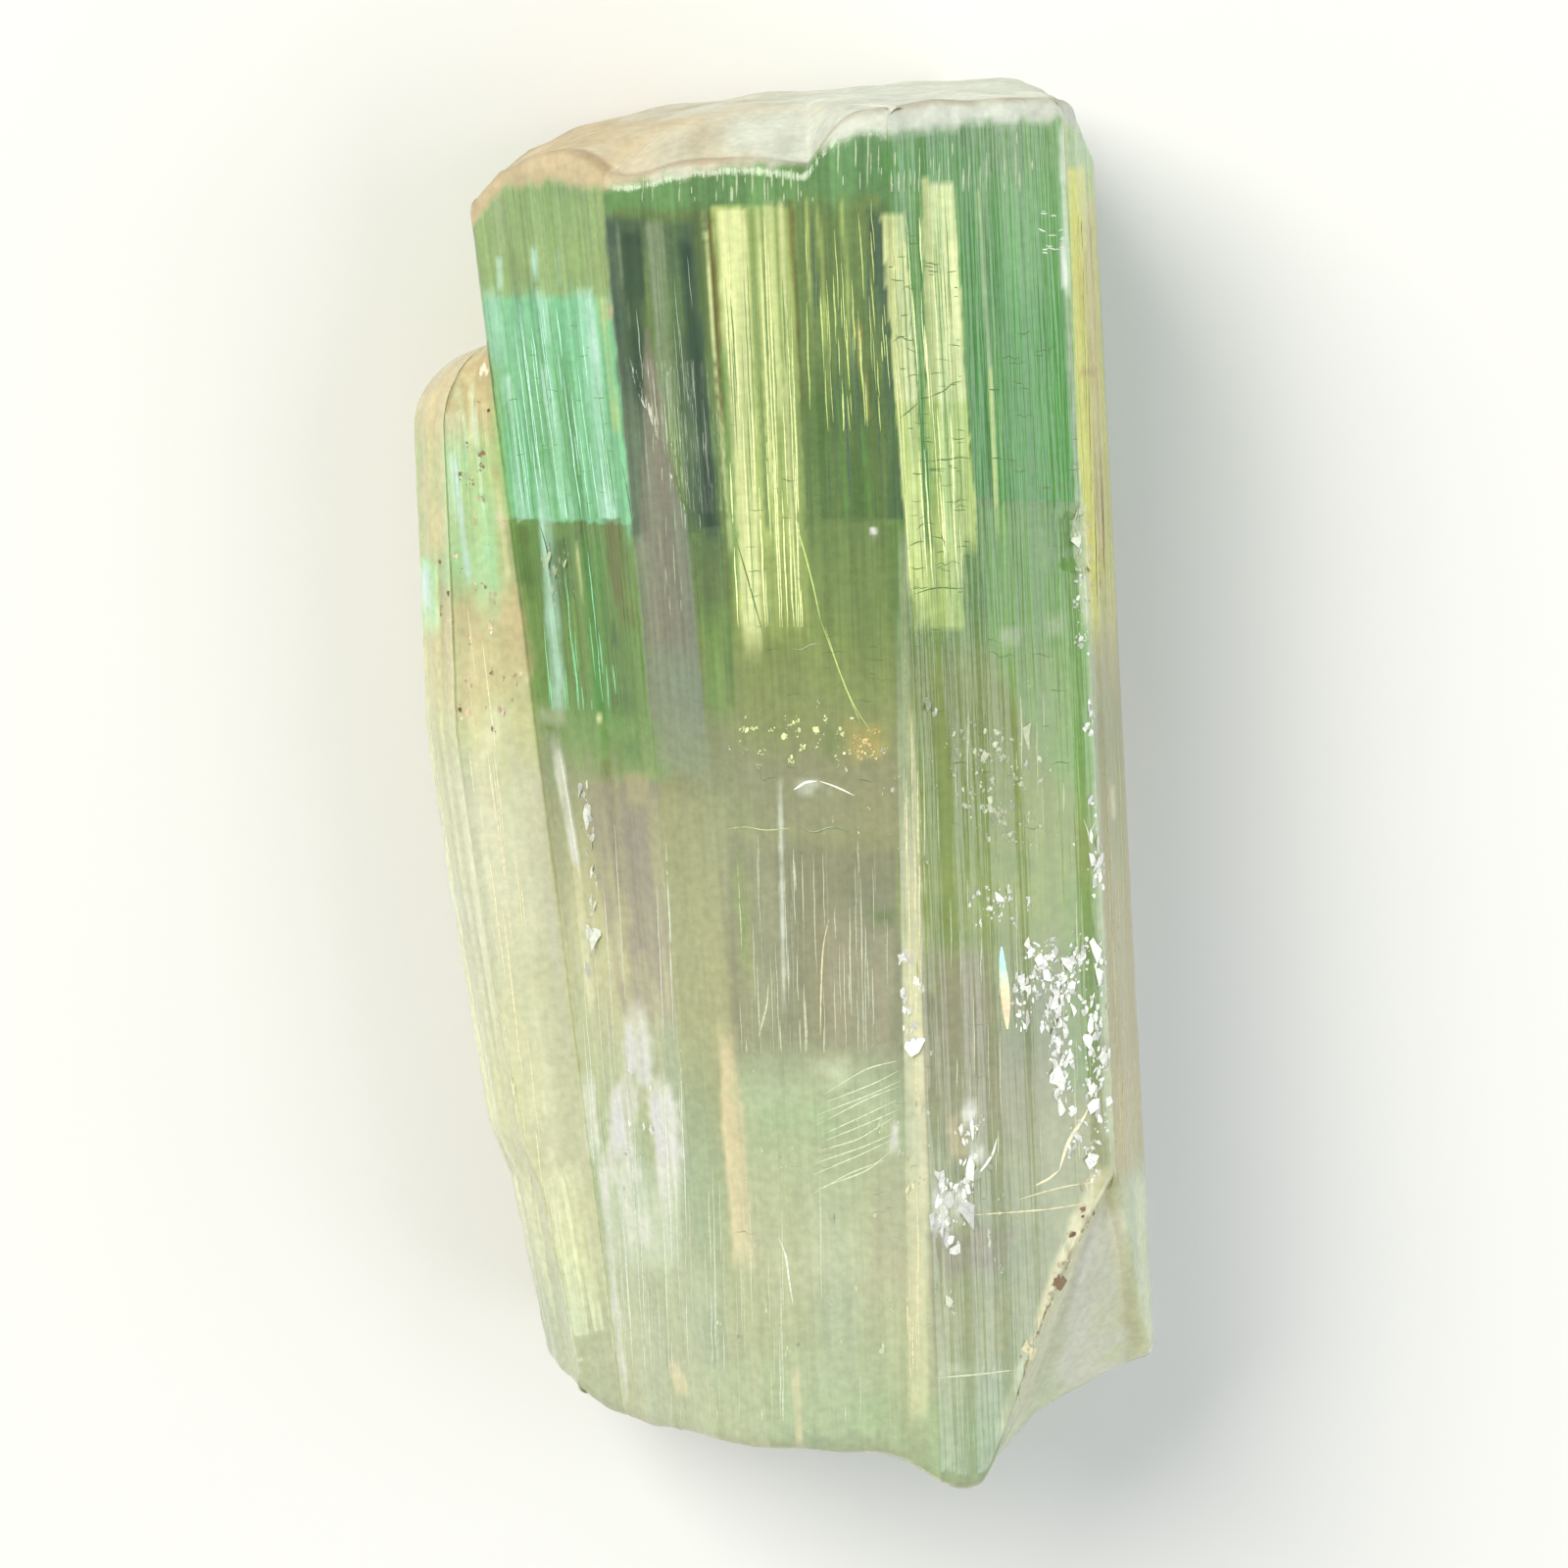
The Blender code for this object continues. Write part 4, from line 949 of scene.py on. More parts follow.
TOURMALINE_IOR = 1.63
POLISH, FROSTING = 0.07, 0.55  # roughness of a bright face, and what the frosted end adds
BODY_COLOUR, BODY_DENSITY = "#dfeccb", 45.0  # what a metre of the clear stone keeps back
STREAKS = ((11.0, 3.5), (3.2, 8.0))  # per millimetre across, and millimetres long
STREAK_PAINT, GRAIN_PAINT = 0.40, 0.09  # shares of the tint: streaks of painted sheen along the grooves, and grain
GRAINS = 5.0  # to a millimetre
STRIA_DEPTH, FROST_DEPTH = 0.028, 0.030  # mm of bump


def tourmaline():
    material = bpy.data.materials.new("tourmaline")
    material.use_nodes = True
    tree = material.node_tree
    shader = tree.nodes["Principled BSDF"]
    tint = add(tree, "ShaderNodeAttribute", {}, attribute_name="tint").outputs["Color"]
    lane = add(tree, "ShaderNodeAttribute", {}, attribute_name="lane").outputs["Fac"]
    finish = add(tree, "ShaderNodeAttribute", {}, attribute_name="finish").outputs["Color"]
    clear, frosted, streaked = add(tree, "ShaderNodeSeparateColor", {0: finish}).outputs
    place = add(tree, "ShaderNodeTexCoord", {}).outputs["Object"]
    place = add(tree, "ShaderNodeVectorMath", {0: place, "Scale": 1 / MM}, operation="SCALE").outputs[0]
    height = add(tree, "ShaderNodeSeparateXYZ", {0: place}).outputs["Y"]

    layers = []
    for per_mm, length in STREAKS:
        across = add(tree, "ShaderNodeMath", {0: lane, 1: per_mm}, operation="MULTIPLY").outputs[0]
        along = add(tree, "ShaderNodeMath", {0: height, 1: 1 / length}, operation="MULTIPLY").outputs[0]
        spot = add(tree, "ShaderNodeCombineXYZ", {0: across, 1: along}).outputs[0]
        noise = add(tree, "ShaderNodeTexNoise", {"Vector": spot, "Scale": 1.0, "Detail": 2.0}, noise_dimensions="2D")
        layers.append(noise.outputs["Fac"])
    stria = add(tree, "ShaderNodeMath", {0: layers[0], 1: layers[1]}, operation="ADD").outputs[0]
    # The colour is brightened and darkened along the grooves' streaks, a painted sheen scaled by how streaked a place
    # is.
    swing = add(
        tree, "ShaderNodeMapRange", {"Value": stria, "From Min": 0.7, "From Max": 1.3, "To Min": -0.5, "To Max": 0.5}
    ).outputs[0]
    swing = add(tree, "ShaderNodeMath", {0: swing, 1: streaked}, operation="MULTIPLY").outputs[0]
    level = add(tree, "ShaderNodeMath", {0: swing, 1: STREAK_PAINT, 2: 1.0}, operation="MULTIPLY_ADD").outputs[0]
    grain = add(tree, "ShaderNodeTexNoise", {"Vector": place, "Scale": GRAINS, "Detail": 2.0})
    speck = add(
        tree, "ShaderNodeMapRange",
        {"Value": grain.outputs["Fac"], "From Min": 0.3, "From Max": 0.7,
         "To Min": 1 - GRAIN_PAINT, "To Max": 1 + GRAIN_PAINT},
    ).outputs[0]
    level = add(tree, "ShaderNodeMath", {0: level, 1: speck}, operation="MULTIPLY").outputs[0]
    colour = add(tree, "ShaderNodeVectorMath", {0: tint, "Scale": level}, operation="SCALE").outputs[0]

    rough = add(tree, "ShaderNodeMath", {0: frosted, 1: FROSTING, 2: POLISH}, operation="MULTIPLY_ADD").outputs[0]
    relief = add(tree, "ShaderNodeMath", {0: frosted, 1: FROST_DEPTH}, operation="MULTIPLY").outputs[0]
    relief = add(tree, "ShaderNodeMath", {0: grain.outputs["Fac"], 1: relief}, operation="MULTIPLY").outputs[0]
    ridge = add(tree, "ShaderNodeMath", {0: stria, 1: streaked}, operation="MULTIPLY").outputs[0]
    relief = add(tree, "ShaderNodeMath", {0: ridge, 1: STRIA_DEPTH, 2: relief}, operation="MULTIPLY_ADD").outputs[0]
    relief = add(tree, "ShaderNodeBump", {"Height": relief, "Distance": MM}).outputs[0]

    for name, value in {
        "Base Color": colour, "Transmission Weight": clear, "Roughness": rough, "Normal": relief
    }.items():
        tree.links.new(value, shader.inputs[name])
    shader.inputs["IOR"].default_value = TOURMALINE_IOR
    body = add(tree, "ShaderNodeVolumeAbsorption", {"Density": BODY_DENSITY})
    body.inputs["Color"].default_value = (*linear(BODY_COLOUR), 1.0)
    tree.links.new(body.outputs[0], tree.nodes["Material Output"].inputs["Volume"])
    return material


def solid(name, points, faces, material, smooth_angle=None):
    """A mesh object at the origin from points in mm and groups of faces with equal numbers of corners."""
    mesh = bpy.data.meshes.new(name)
    sizes = np.concatenate([np.full(len(group), group.shape[1]) for group in faces])
    corners_of = np.concatenate([group.reshape(-1) for group in faces])
    mesh.vertices.add(len(points))
    mesh.vertices.foreach_set("co", (points * MM).astype(np.float32).ravel())
    mesh.loops.add(len(corners_of))
    mesh.loops.foreach_set("vertex_index", corners_of.astype(np.int32))
    mesh.polygons.add(len(sizes))
    mesh.polygons.foreach_set("loop_start", np.concatenate([[0], np.cumsum(sizes)[:-1]]).astype(np.int32))
    mesh.update(calc_edges=True)
    mesh.validate()
    mesh.shade_smooth()
    if smooth_angle:
        mesh.set_sharp_from_angle(angle=math.radians(smooth_angle))
    mesh.materials.append(material)
    made = bpy.data.objects.new(name, mesh)
    bpy.context.scene.collection.objects.link(made)
    return made


def store(piece, name, kind, values):
    """Keeps one value for each point of a piece: a number, or a colour of three parts."""
    layer = piece.data.attributes.new(name, kind, "POINT")
    if kind == "FLOAT_COLOR":
        values = np.concatenate([values, np.ones((len(values), 1))], 1)
        layer.data.foreach_set("color", values.astype(np.float32).ravel())
    else:
        layer.data.foreach_set("value", values.astype(np.float32))


points, faces, outward, point_face, lane, from_base, from_top = crystal_skin()
tint, finish = painted(points, point_face, lane, from_base, from_top)
middle = (points.min(0) + points.max(0)) / 2
shift = np.array([middle[0], middle[1], 0.0])  # brings the origin under the middle, where the frame has it
skin = solid("crystal_skin", points - shift, faces, tourmaline(), smooth_angle=28)
store(skin, "tint", "FLOAT_COLOR", tint)
store(skin, "finish", "FLOAT_COLOR", finish)
store(skin, "lane", "FLOAT", lane)
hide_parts("crystal")
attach(skin, "root")

# Flakes. Where the stone has cracked and partly healed, thin angular plates of trapped air lie in the skin and
# just under it. They formed as the crystal was strained, and they shine white. Grains of iron stain on the side
# crystal and on the chip's lip are as small.

FLAKES = (  # name, colour, how many, half width in mm, how much longer than wide, and the place
    ("head of the crackle", "white", 170, 0.050, 1.2, (1050, 1118, 955), (1046, 1112, 1012)),
    ("heart of the crackle", "white", 150, 0.052, 1.8, (1066, 1096, 1000), (1074, 1092, 1138)),
    ("right edge of the crackle", "white", 120, 0.042, 2.0, (1100, 1124, 1010), (1108, 1130, 1150)),
    ("left fringe of the crackle", "white", 60, 0.040, 2.0, (1036, 1060, 990), (1036, 1056, 1050)),
    ("foot of the crackle", "white", 60, 0.040, 1.4, (1070, 1126, 1140), (1096, 1126, 1200)),
    ("crackle under the right green", "milk", 260, 0.028, 1.6, (962, 1066, 740), (964, 1066, 860)),
    ("sparkles across the middle", "lime", 130, 0.022, 1.2, (742, 905, 732), (742, 905, 780)),
    ("golden grains", "gold", 60, 0.024, 1.0, (862, 902, 736), (866, 904, 776)),
    ("specks over the middle", "milk", 200, 0.019, 1.5, (740, 1100, 690), (740, 1110, 900)),
    ("scratches", "white", 60, 0.032, 1.6, (982, 1056, 904), (982, 1056, 950)),
    ("flecks by the ridge", "white", 50, 0.034, 2.2, (914, 946, 962), (920, 948, 1060)),
    ("flecks down the ridge", "cream", 40, 0.020, 2.5, (920, 946, 1060), (928, 948, 1260)),
    ("low white patch", "white", 74, 0.046, 2.2, (952, 992, 1200), (954, 988, 1262)),
    ("patch over it", "white", 30, 0.044, 1.5, (980, 1004, 1120), (984, 1004, 1190)),
    ("bitten edge", "frost", 110, 0.034, 1.4, (1092, 1112, 512), (1096, 1114, 665)),
    ("flecks down the right edge", "white", 90, 0.036, 2.2, (1108, 1118, 700), (1126, 1134, 1180)),
    ("flecks under the left step", "milk green", 40, 0.028, 3.0, (546, 584, 545), (566, 590, 640)),
    ("flecks along the left seam", "frost", 60, 0.042, 2.5, (592, 602, 800), (602, 610, 1000)),
    # White plates set in the painted highlight of the glint, as its sparkle.
    ("sparkle in the glint", "white", 60, 0.022, 3.0, (632, 668, 1040), (614, 690, 1250)),
    ("specks over the lower half", "milk", 160, 0.026, 2.0, (700, 1090, 1060), (700, 1030, 1400)),
    ("stain on the side crystal", "rust", 80, 0.024, 1.3, (434, 500, 380), (450, 540, 800)),
    ("pale specks beside it", "peach", 70, 0.030, 1.8, (440, 510, 400), (455, 540, 770)),
    ("rough lip of the chip", "cream", 90, 0.042, 1.4, (1100, 1130, 1200), (1030, 1056, 1440)),
    ("stain on the lip", "rust", 26, 0.036, 1.2, (1096, 1124, 1220), (1040, 1070, 1400)),
)
FLAKE_CORNERS, FLAKE_THICKNESS, FLAKE_SINK, FLAKE_CREASE = 7, 0.010, 0.004, 25  # mm, and degrees
FLAKE_TILT, FLAKE_SIZE_SPREAD, FLAKE_DULLEST = 0.24, 0.60, 0.50
CLUSTER_SIZE, CLUSTER_SPREAD = 4, 1.8  # flakes to a cluster, and how far it spreads, in flakes
FLAKE_SEED = 41
SEARCH_PART = 64  # places looked up at once


def skin_under(px, py):
    """The skin at places of the photograph's frame, and the way out of it. From a place's nearest point of the
    skin, the spot where the sight line meets the plane through that point."""
    shown = np.flatnonzero(np.isin(point_face, SEEN_FACES) & (outward @ TOWARDS_VIEWER > 0.1))
    seen_px, seen_py = (values.astype(np.float32) for values in in_photo(points[shown]))
    near = []
    for part in np.array_split(np.arange(len(px)), len(px) // SEARCH_PART + 1):
        off = (px[part, None].astype(np.float32) - seen_px) ** 2 + (py[part, None].astype(np.float32) - seen_py) ** 2
        near.append(off.argmin(1))
    near = shown[np.concatenate(near)]
    half = PHOTO_SIDE / 2
    sight = np.array([1.0, 0.0, 0.0]) * ((px - half) / FOCAL)[:, None] - TOWARDS_VIEWER
    sight += VIEW_UP * ((half - py) / FOCAL)[:, None]
    found, out = points[near], outward[near]
    reach = ((found - CAMERA_PLACE) * out).sum(-1) / (sight * out).sum(-1)
    spot = CAMERA_PLACE + sight * reach[:, None]
    astray = np.linalg.norm(spot - found, axis=-1) > ROW_STEP * 2
    return np.where(astray[:, None], found, spot), out


def directions(out, run=(0.0, 1.0, 0.0)):
    """Unit vectors in the skin: along the run, as far as the skin allows, and square to that."""
    along = run - (out * run).sum(-1, keepdims=True) * out
    along /= np.linalg.norm(along, axis=-1, keepdims=True)
    return along, np.cross(along, out)


def within(share_x, share_y, top, foot):
    """Places at shares across and down a quadrilateral whose top edge and foot are level."""
    left = top[0] + (foot[0] - top[0]) * share_y
    right = top[1] + (foot[1] - top[1]) * share_y
    return left + (right - left) * share_x, top[2] + (foot[2] - top[2]) * share_y


def flake_plates(centre, out, half_width, length, seeds):
    """Closed angular plates: round each centre a ring of corners at uneven distances, tilted a little, joined to
    one point above the middle and one below it."""
    along, across = directions(out)
    count = len(centre)
    turn = 2 * math.pi * (np.arange(FLAKE_CORNERS) + seeds.uniform(-0.3, 0.3, (count, FLAKE_CORNERS))) / FLAKE_CORNERS
    reach = half_width[:, None] * seeds.uniform(0.55, 1.25, (count, FLAKE_CORNERS))
    a, b = np.cos(turn) * reach, np.sin(turn) * reach * length[:, None]
    tilt = seeds.normal(0, FLAKE_TILT, (2, count, 1))
    rise = a * tilt[0] + b * tilt[1]
    ring = centre[:, None] + across[:, None] * a[..., None] + along[:, None] * b[..., None] + out[:, None] * rise[..., None]
    poles = centre[:, None] + out[:, None] * (FLAKE_THICKNESS * np.array([1.0, -1.0]))[None, :, None]
    plates = np.concatenate([ring, poles], 1)
    start = (np.arange(count) * (FLAKE_CORNERS + 2))[:, None]
    corner = np.arange(FLAKE_CORNERS)
    after = (corner + 1) % FLAKE_CORNERS
    upper, lower = start + FLAKE_CORNERS, start + FLAKE_CORNERS + 1
    up = np.stack([start + corner, start + after, upper + 0 * corner], -1)
    down = np.stack([start + after, start + corner, lower + 0 * corner], -1)
    return plates.reshape(-1, 3), np.concatenate([up, down]).reshape(-1, 3)


def crack_stone(name, roughness):
    """Stone at a crack: trapped air or stain, uneven in colour as its film is uneven in thickness."""
    material = bpy.data.materials.new(name)
    material.use_nodes = True
    tree = material.node_tree
    shader = tree.nodes["Principled BSDF"]
    tint = add(tree, "ShaderNodeAttribute", {}, attribute_name="tint").outputs["Color"]
    place = add(tree, "ShaderNodeTexCoord", {}).outputs["Object"]
    grain = add(tree, "ShaderNodeTexNoise", {"Vector": place, "Scale": 2 * GRAINS / MM, "Detail": 2.0}).outputs["Fac"]
    level = add(
        tree, "ShaderNodeMapRange", {"Value": grain, "From Min": 0.3, "From Max": 0.7, "To Min": 0.8, "To Max": 1.1}
    ).outputs[0]
    colour = add(tree, "ShaderNodeVectorMath", {0: tint, "Scale": level}, operation="SCALE").outputs[0]
    tree.links.new(colour, shader.inputs["Base Color"])
    shader.inputs["Roughness"].default_value = roughness
    shader.inputs["IOR"].default_value = TOURMALINE_IOR
    return material


def set_in(piece):
    """Fixes a piece to the crystal."""
    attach(piece, "root")


seeds = np.random.default_rng(FLAKE_SEED)
places, sizes, lengths, colours = [], [], [], []
for name, colour, count, half_width, stretch, top, foot in FLAKES:
    clusters = seeds.beta(1.5, 1.5, (2, count // CLUSTER_SIZE + 1))
    px, py = within(*clusters[:, seeds.integers(0, clusters.shape[1], count)], top, foot)
    spread = CLUSTER_SPREAD * half_width * VIEW_SCALE
    places.append(np.stack([px + seeds.normal(0, spread, count), py + seeds.normal(0, spread * stretch, count)], -1))
    sizes.append(half_width * np.exp(seeds.normal(0, FLAKE_SIZE_SPREAD, count)))
    lengths.append(stretch * np.exp(seeds.normal(0, 0.2, count)))
    colours.append(linear(PALETTE[colour]) * seeds.uniform(FLAKE_DULLEST, 1.0, (count, 1)))
centre, out = skin_under(*np.concatenate(places).T)
centre = centre - out * FLAKE_SINK
plate_points, plate_faces = flake_plates(centre, out, np.concatenate(sizes), np.concatenate(lengths), seeds)
flakes = solid("crackle_flakes", plate_points - shift, (plate_faces,), crack_stone("healed_crack", 0.30), FLAKE_CREASE)
store(flakes, "tint", "FLOAT_COLOR", np.repeat(np.concatenate(colours), FLAKE_CORNERS + 2, axis=0))
set_in(flakes)

# Hairlines. Growth lines that reflect as bright or dark threads along the crystal, their reflections painted into
# the threads' colours, and open cracks that run across it or curve through it. Each is a thin wall of healed or
# broken stone that just reaches the skin.

THREADS = (  # along the crystal: name, colour, how many, least and most length in pixels, width in mm, and place
    ("in the bright band", "lime", 26, (60, 260), 0.034, (730, 806, 212), (752, 822, 640)),
    ("dark in the bright band", "olive", 26, (60, 240), 0.030, (728, 806, 212), (752, 822, 640)),
    ("in the olive band", "pale lime", 34, (20, 110), 0.028, (812, 898, 202), (820, 915, 440)),
    ("dark in the olive band", "dark teal", 22, (40, 160), 0.034, (812, 900, 205), (822, 922, 520)),
    ("in the second band", "lime", 22, (60, 220), 0.030, (900, 972, 190), (928, 994, 600)),
    ("dark in the second band", "olive", 28, (40, 200), 0.026, (900, 972, 190), (928, 994, 620)),
    ("on the left face", "ice", 30, (30, 160), 0.032, (500, 606, 290), (530, 636, 530)),
    ("dark on the left face", "sea green", 34, (30, 200), 0.030, (500, 606, 290), (530, 636, 530)),
    ("in the dark bands", "grey green", 18, (20, 90), 0.022, (618, 710, 230), (646, 735, 540)),
    ("in the tongue", "milk green", 16, (12, 50), 0.024, (660, 696, 420), (668, 716, 720)),
    ("icicles under the cap", "milk green", 26, (6, 30), 0.038, (650, 840, 168), (650, 840, 206)),
    ("icicles at the right", "milk green", 34, (8, 44), 0.036, (850, 1088, 130), (850, 1088, 196)),
    ("below the left step", "mint", 16, (30, 120), 0.030, (546, 630, 545), (560, 650, 725)),
    ("pale at the lower left", "frost", 34, (60, 260), 0.030, (575, 735, 830), (620, 745, 1400)),
    ("pale in the heart", "milk", 44, (30, 140), 0.025, (745, 912, 850), (755, 915, 1075)),
    ("dark in the heart", "clay", 40, (30, 160), 0.028, (745, 912, 850), (755, 915, 1080)),
    ("pale on the right", "milk", 34, (20, 90), 0.024, (955, 1100, 690), (960, 1110, 1200)),
    ("pale on the ridge", "cream", 20, (40, 200), 0.030, (916, 944, 700), (926, 948, 1420)),
    ("dark on the ridge", "moss", 14, (40, 160), 0.026, (914, 942, 560), (924, 948, 1000)),
    ("in the yellow strip", "gold", 14, (40, 160), 0.028, (1094, 1116, 180), (1108, 1128, 600)),
    ("brown in the strip", "brown", 10, (40, 160), 0.022, (1100, 1118, 200), (1112, 1130, 620)),
    ("down the right side", "cream", 14, (40, 160), 0.026, (1124, 1140, 680), (1140, 1160, 1180)),
    ("down the side crystal", "cream", 24, (40, 160), 0.030, (445, 500, 600), (540, 580, 1300)),
    ("at the foot", "milk", 34, (40, 140), 0.030, (640, 905, 1200), (650, 905, 1450)),
)
CROSS_CRACKS = (  # across the crystal, in the same form
    ("in the second band", "deep olive", 70, (5, 20), 0.022, (902, 974, 230), (930, 994, 620)),
    ("in the bright band", "olive", 14, (6, 16), 0.020, (740, 806, 400), (752, 822, 650)),
    ("on the left face", "sea green", 30, (4, 12), 0.022, (505, 606, 300), (530, 634, 530)),
    ("in the right green", "deep olive", 14, (8, 30), 0.022, (1010, 1090, 330), (1020, 1104, 505)),
    ("in the middle", "deep olive", 30, (6, 26), 0.020, (745, 1090, 640), (745, 1100, 860)),
    ("in the lower half", "grey pink", 24, (6, 24), 0.020, (745, 1060, 1000), (745, 1040, 1380)),
    ("pale under the cap", "frost", 14, (3, 9), 0.030, (1056, 1084, 196), (1060, 1086, 270)),
)
DRAWN_LINES = (  # drawn one by one: name, colour, width in mm, and the points passed
    ("crack over the second band", "deep olive", 0.040, ((915, 429), (926, 421), (937, 411))),
    ("its right half", "deep olive", 0.036, ((947, 406), (958, 401), (966, 398), (970, 391), (982, 389))),
    ("crack below", "deep olive", 0.038, ((947, 473), (958, 468), (967, 470), (978, 466), (991, 468))),
    ("crack to the left", "deep olive", 0.032, ((931, 483), (937, 484), (943, 483))),
    ("crack near the top", "deep olive", 0.030, ((911, 349), (917, 344), (924, 343))),
    ("hooked crack", "deep olive", 0.034, ((935, 541), (942, 534), (950, 533), (954, 536))),
    ("crack under the hook", "deep olive", 0.030, ((928, 557), (936, 553), (944, 552))),
    ("short upright crack", "dark teal", 0.034, ((960, 545), (963, 552), (965, 560))),
    ("crack at the band's foot", "deep olive", 0.034, ((930, 608), (944, 602), (960, 599), (976, 601), (991, 599))),
    ("crack across the pair", "dark teal", 0.034, ((1009, 397), (1014, 398), (1021, 397))),
    ("second crack across the pair", "dark teal", 0.034, ((1012, 468), (1018, 467), (1024, 469))),
    ("crack in the bright band", "deep olive", 0.030, ((798, 488), (805, 491), (813, 490))),
    ("crack at its foot", "deep olive", 0.030, ((765, 584), (770, 582), (776, 583))),
    ("slanted dark line", "deep olive", 0.036, ((750, 546), (760, 580), (770, 616), (779, 648))),
    ("slanted bright line", "pale lime", 0.034, ((811, 530), (820, 560), (829, 594), (837, 632))),
    ("its foot", "pale lime", 0.024, ((837, 632), (848, 662), (862, 700), (878, 738))),
    ("thin slanted line", "pale lime", 0.020, ((842, 640), (858, 690), (874, 726), (890, 748))),
    ("squiggle in the middle", "deep olive", 0.036, ((808, 662), (818, 664), (828, 657), (842, 658))),
    ("second squiggle", "deep olive", 0.036, ((815, 844), (830, 851), (848, 843), (866, 849))),
    ("third squiggle", "moss", 0.034, ((742, 846), (760, 843), (780, 848), (806, 845))),
    ("dark wisp on the left", "olive", 0.036, ((748, 852), (755, 880), (752, 910), (760, 944), (757, 990))),
    ("curved feather", "milk", 0.045, ((784, 1004), (783, 1024), (779, 1040), (774, 1058))),
    ("edge of the pink region", "cream", 0.036, ((846, 938), (840, 960), (838, 1000), (837, 1056))),
    ("barb of the feather", "frost", 0.045, ((836, 797), (848, 801), (860, 806), (872, 812))),
    ("white feather, upper side", "white", 0.060, ((810, 806), (822, 798), (834, 797))),
    ("thick pale crack", "cream", 0.095, ((1113, 1127), (1104, 1144), (1091, 1162), (1085, 1180), (1081, 1194))),
    ("its foot", "cream", 0.060, ((1081, 1194), (1070, 1203), (1056, 1210))),
    ("white arc", "white", 0.060, ((1017, 1162), (1014, 1176), (1005, 1190), (993, 1203))),
    ("cream line over the grey patch", "cream", 0.040, ((990, 1240), (1034, 1237), (1072, 1234), (1113, 1227))),
    ("second cream line", "cream", 0.036, ((1040, 1224), (1066, 1216), (1090, 1210), (1120, 1206))),
    ("pale cross line at the foot", "milk", 0.050, ((955, 1406), (995, 1403), (1036, 1398))),
    ("wisp at the foot", "frost", 0.050, ((794, 1262), (802, 1280), (805, 1306), (809, 1330))),
    # The bright edge of the white streak, part of the painted highlight on the left face.
    ("bright edge of the streak", "frost", 0.050, ((570, 765), (577, 800), (585, 850), (592, 900))),
    ("dark seam", "olive", 0.036, ((557, 742), (559, 770), (562, 800), (566, 850))),
    ("dark seam by the step", "black teal", 0.040, ((551, 536), (556, 552), (560, 570), (562, 590))),
    ("dark edge of the mirror", "dark teal", 0.036, ((634, 470), (640, 500), (645, 530), (648, 560))),
    ("loop by the right edge", "milk", 0.036, ((1106, 836), (1110, 848), (1114, 862), (1112, 850), (1118, 838))),
)
FEATHER_FAN = (829, 1219), (876, 1200), (909, 1184)  # the lowest of a fan of curved cracks, by three of its points
FAN_COUNT, FAN_STEP, FAN_WIDTH = 11, (1.2, -10.5), 0.026  # how many, how far apart in pixels, and mm
FAN_JITTER = 3.0  # pixels
LINE_STEPS, LINE_RISE, LINE_DEPTH = 12, 0.006, 0.10  # mm that a line stands over the skin, and reaches below it
LINE_SEED = 61


def drawn_path(stops):
    """A smooth path through given points: evenly spaced along them, then each bend eased by averaging."""
    stops = np.array(stops, float)
    gone = np.concatenate([[0], np.cumsum(np.linalg.norm(np.diff(stops, axis=0), axis=1))])
    where = np.linspace(0, gone[-1], LINE_STEPS + 1)
    path = np.stack([np.interp(where, gone, stops[:, 0]), np.interp(where, gone, stops[:, 1])], -1)
    for _ in range(2):
        path[1:-1] = (path[:-2] + 2 * path[1:-1] + path[2:]) / 4
    return path


def seeded_paths(count, reach, top, foot, crosswise, seeds):
    """Seeded paths in a quadrilateral, along its growth lines or across them with a wiggle."""
    start_x, start_y = seeds.uniform(0, 0.96, (2, count, 1))
    width, height = (top[1] - top[0] + foot[1] - foot[0]) / 2, foot[2] - top[2]
    room = (1 - start_x) * width if crosswise else (1 - start_y) * height
    extent = np.minimum(seeds.uniform(*reach, (count, 1)), room) * np.linspace(0, 1, LINE_STEPS + 1)
    if crosswise:
        px, py = within(start_x + extent / width, start_y + 0 * extent, top, foot)
        size = 2.0 * np.minimum(extent[:, -1:] / 20, 1)
        wiggle = size * mottle(px / 5, start_y * 99, LINE_SEED) + seeds.normal(0, 0.1, (count, 1)) * extent
        return np.stack([px, py + wiggle], -1)
    px, py = within(start_x + 0 * extent, start_y + extent / height, top, foot)
    return np.stack([px + 0.6 * mottle(py / 17, start_x * 99, LINE_SEED), py], -1)


def line_walls(paths, widths):
    """Thin closed walls along paths: at each step a diamond of two sides, a crest and a keel, square to the path
    and to the skin, whose width swells from nothing and back as a half sine."""
    count, steps = paths.shape[:2]
    spot, out = skin_under(*paths.reshape(-1, 2).T)
    spot, out = spot.reshape(count, steps, 3), out.reshape(count, steps, 3)
    run = np.gradient(spot, axis=1)
    run /= np.linalg.norm(run, axis=-1, keepdims=True) + 1e-9
    side = np.cross(run, out)
    swell = np.maximum(np.sin(np.linspace(0, math.pi, steps)), 0.06) ** 0.6
    half = widths[:, None] / 2 * swell
    rings = np.stack(
        [
            spot + side * half[..., None],
            spot + out * (LINE_RISE * swell)[None, :, None],
            spot - side * half[..., None],
            spot - out * (LINE_DEPTH * swell)[None, :, None],
        ],
        2,
    )
    number = np.arange(count * steps * 4).reshape(count, steps, 4)
    after = np.roll(number, -1, 2)
    walls = np.stack([number[:, :-1], after[:, :-1], after[:, 1:], number[:, 1:]], -1).reshape(-1, 4)
    ends = np.concatenate([number[:, 0, ::-1], number[:, -1]])
    return rings.reshape(-1, 3), np.concatenate([walls, ends])


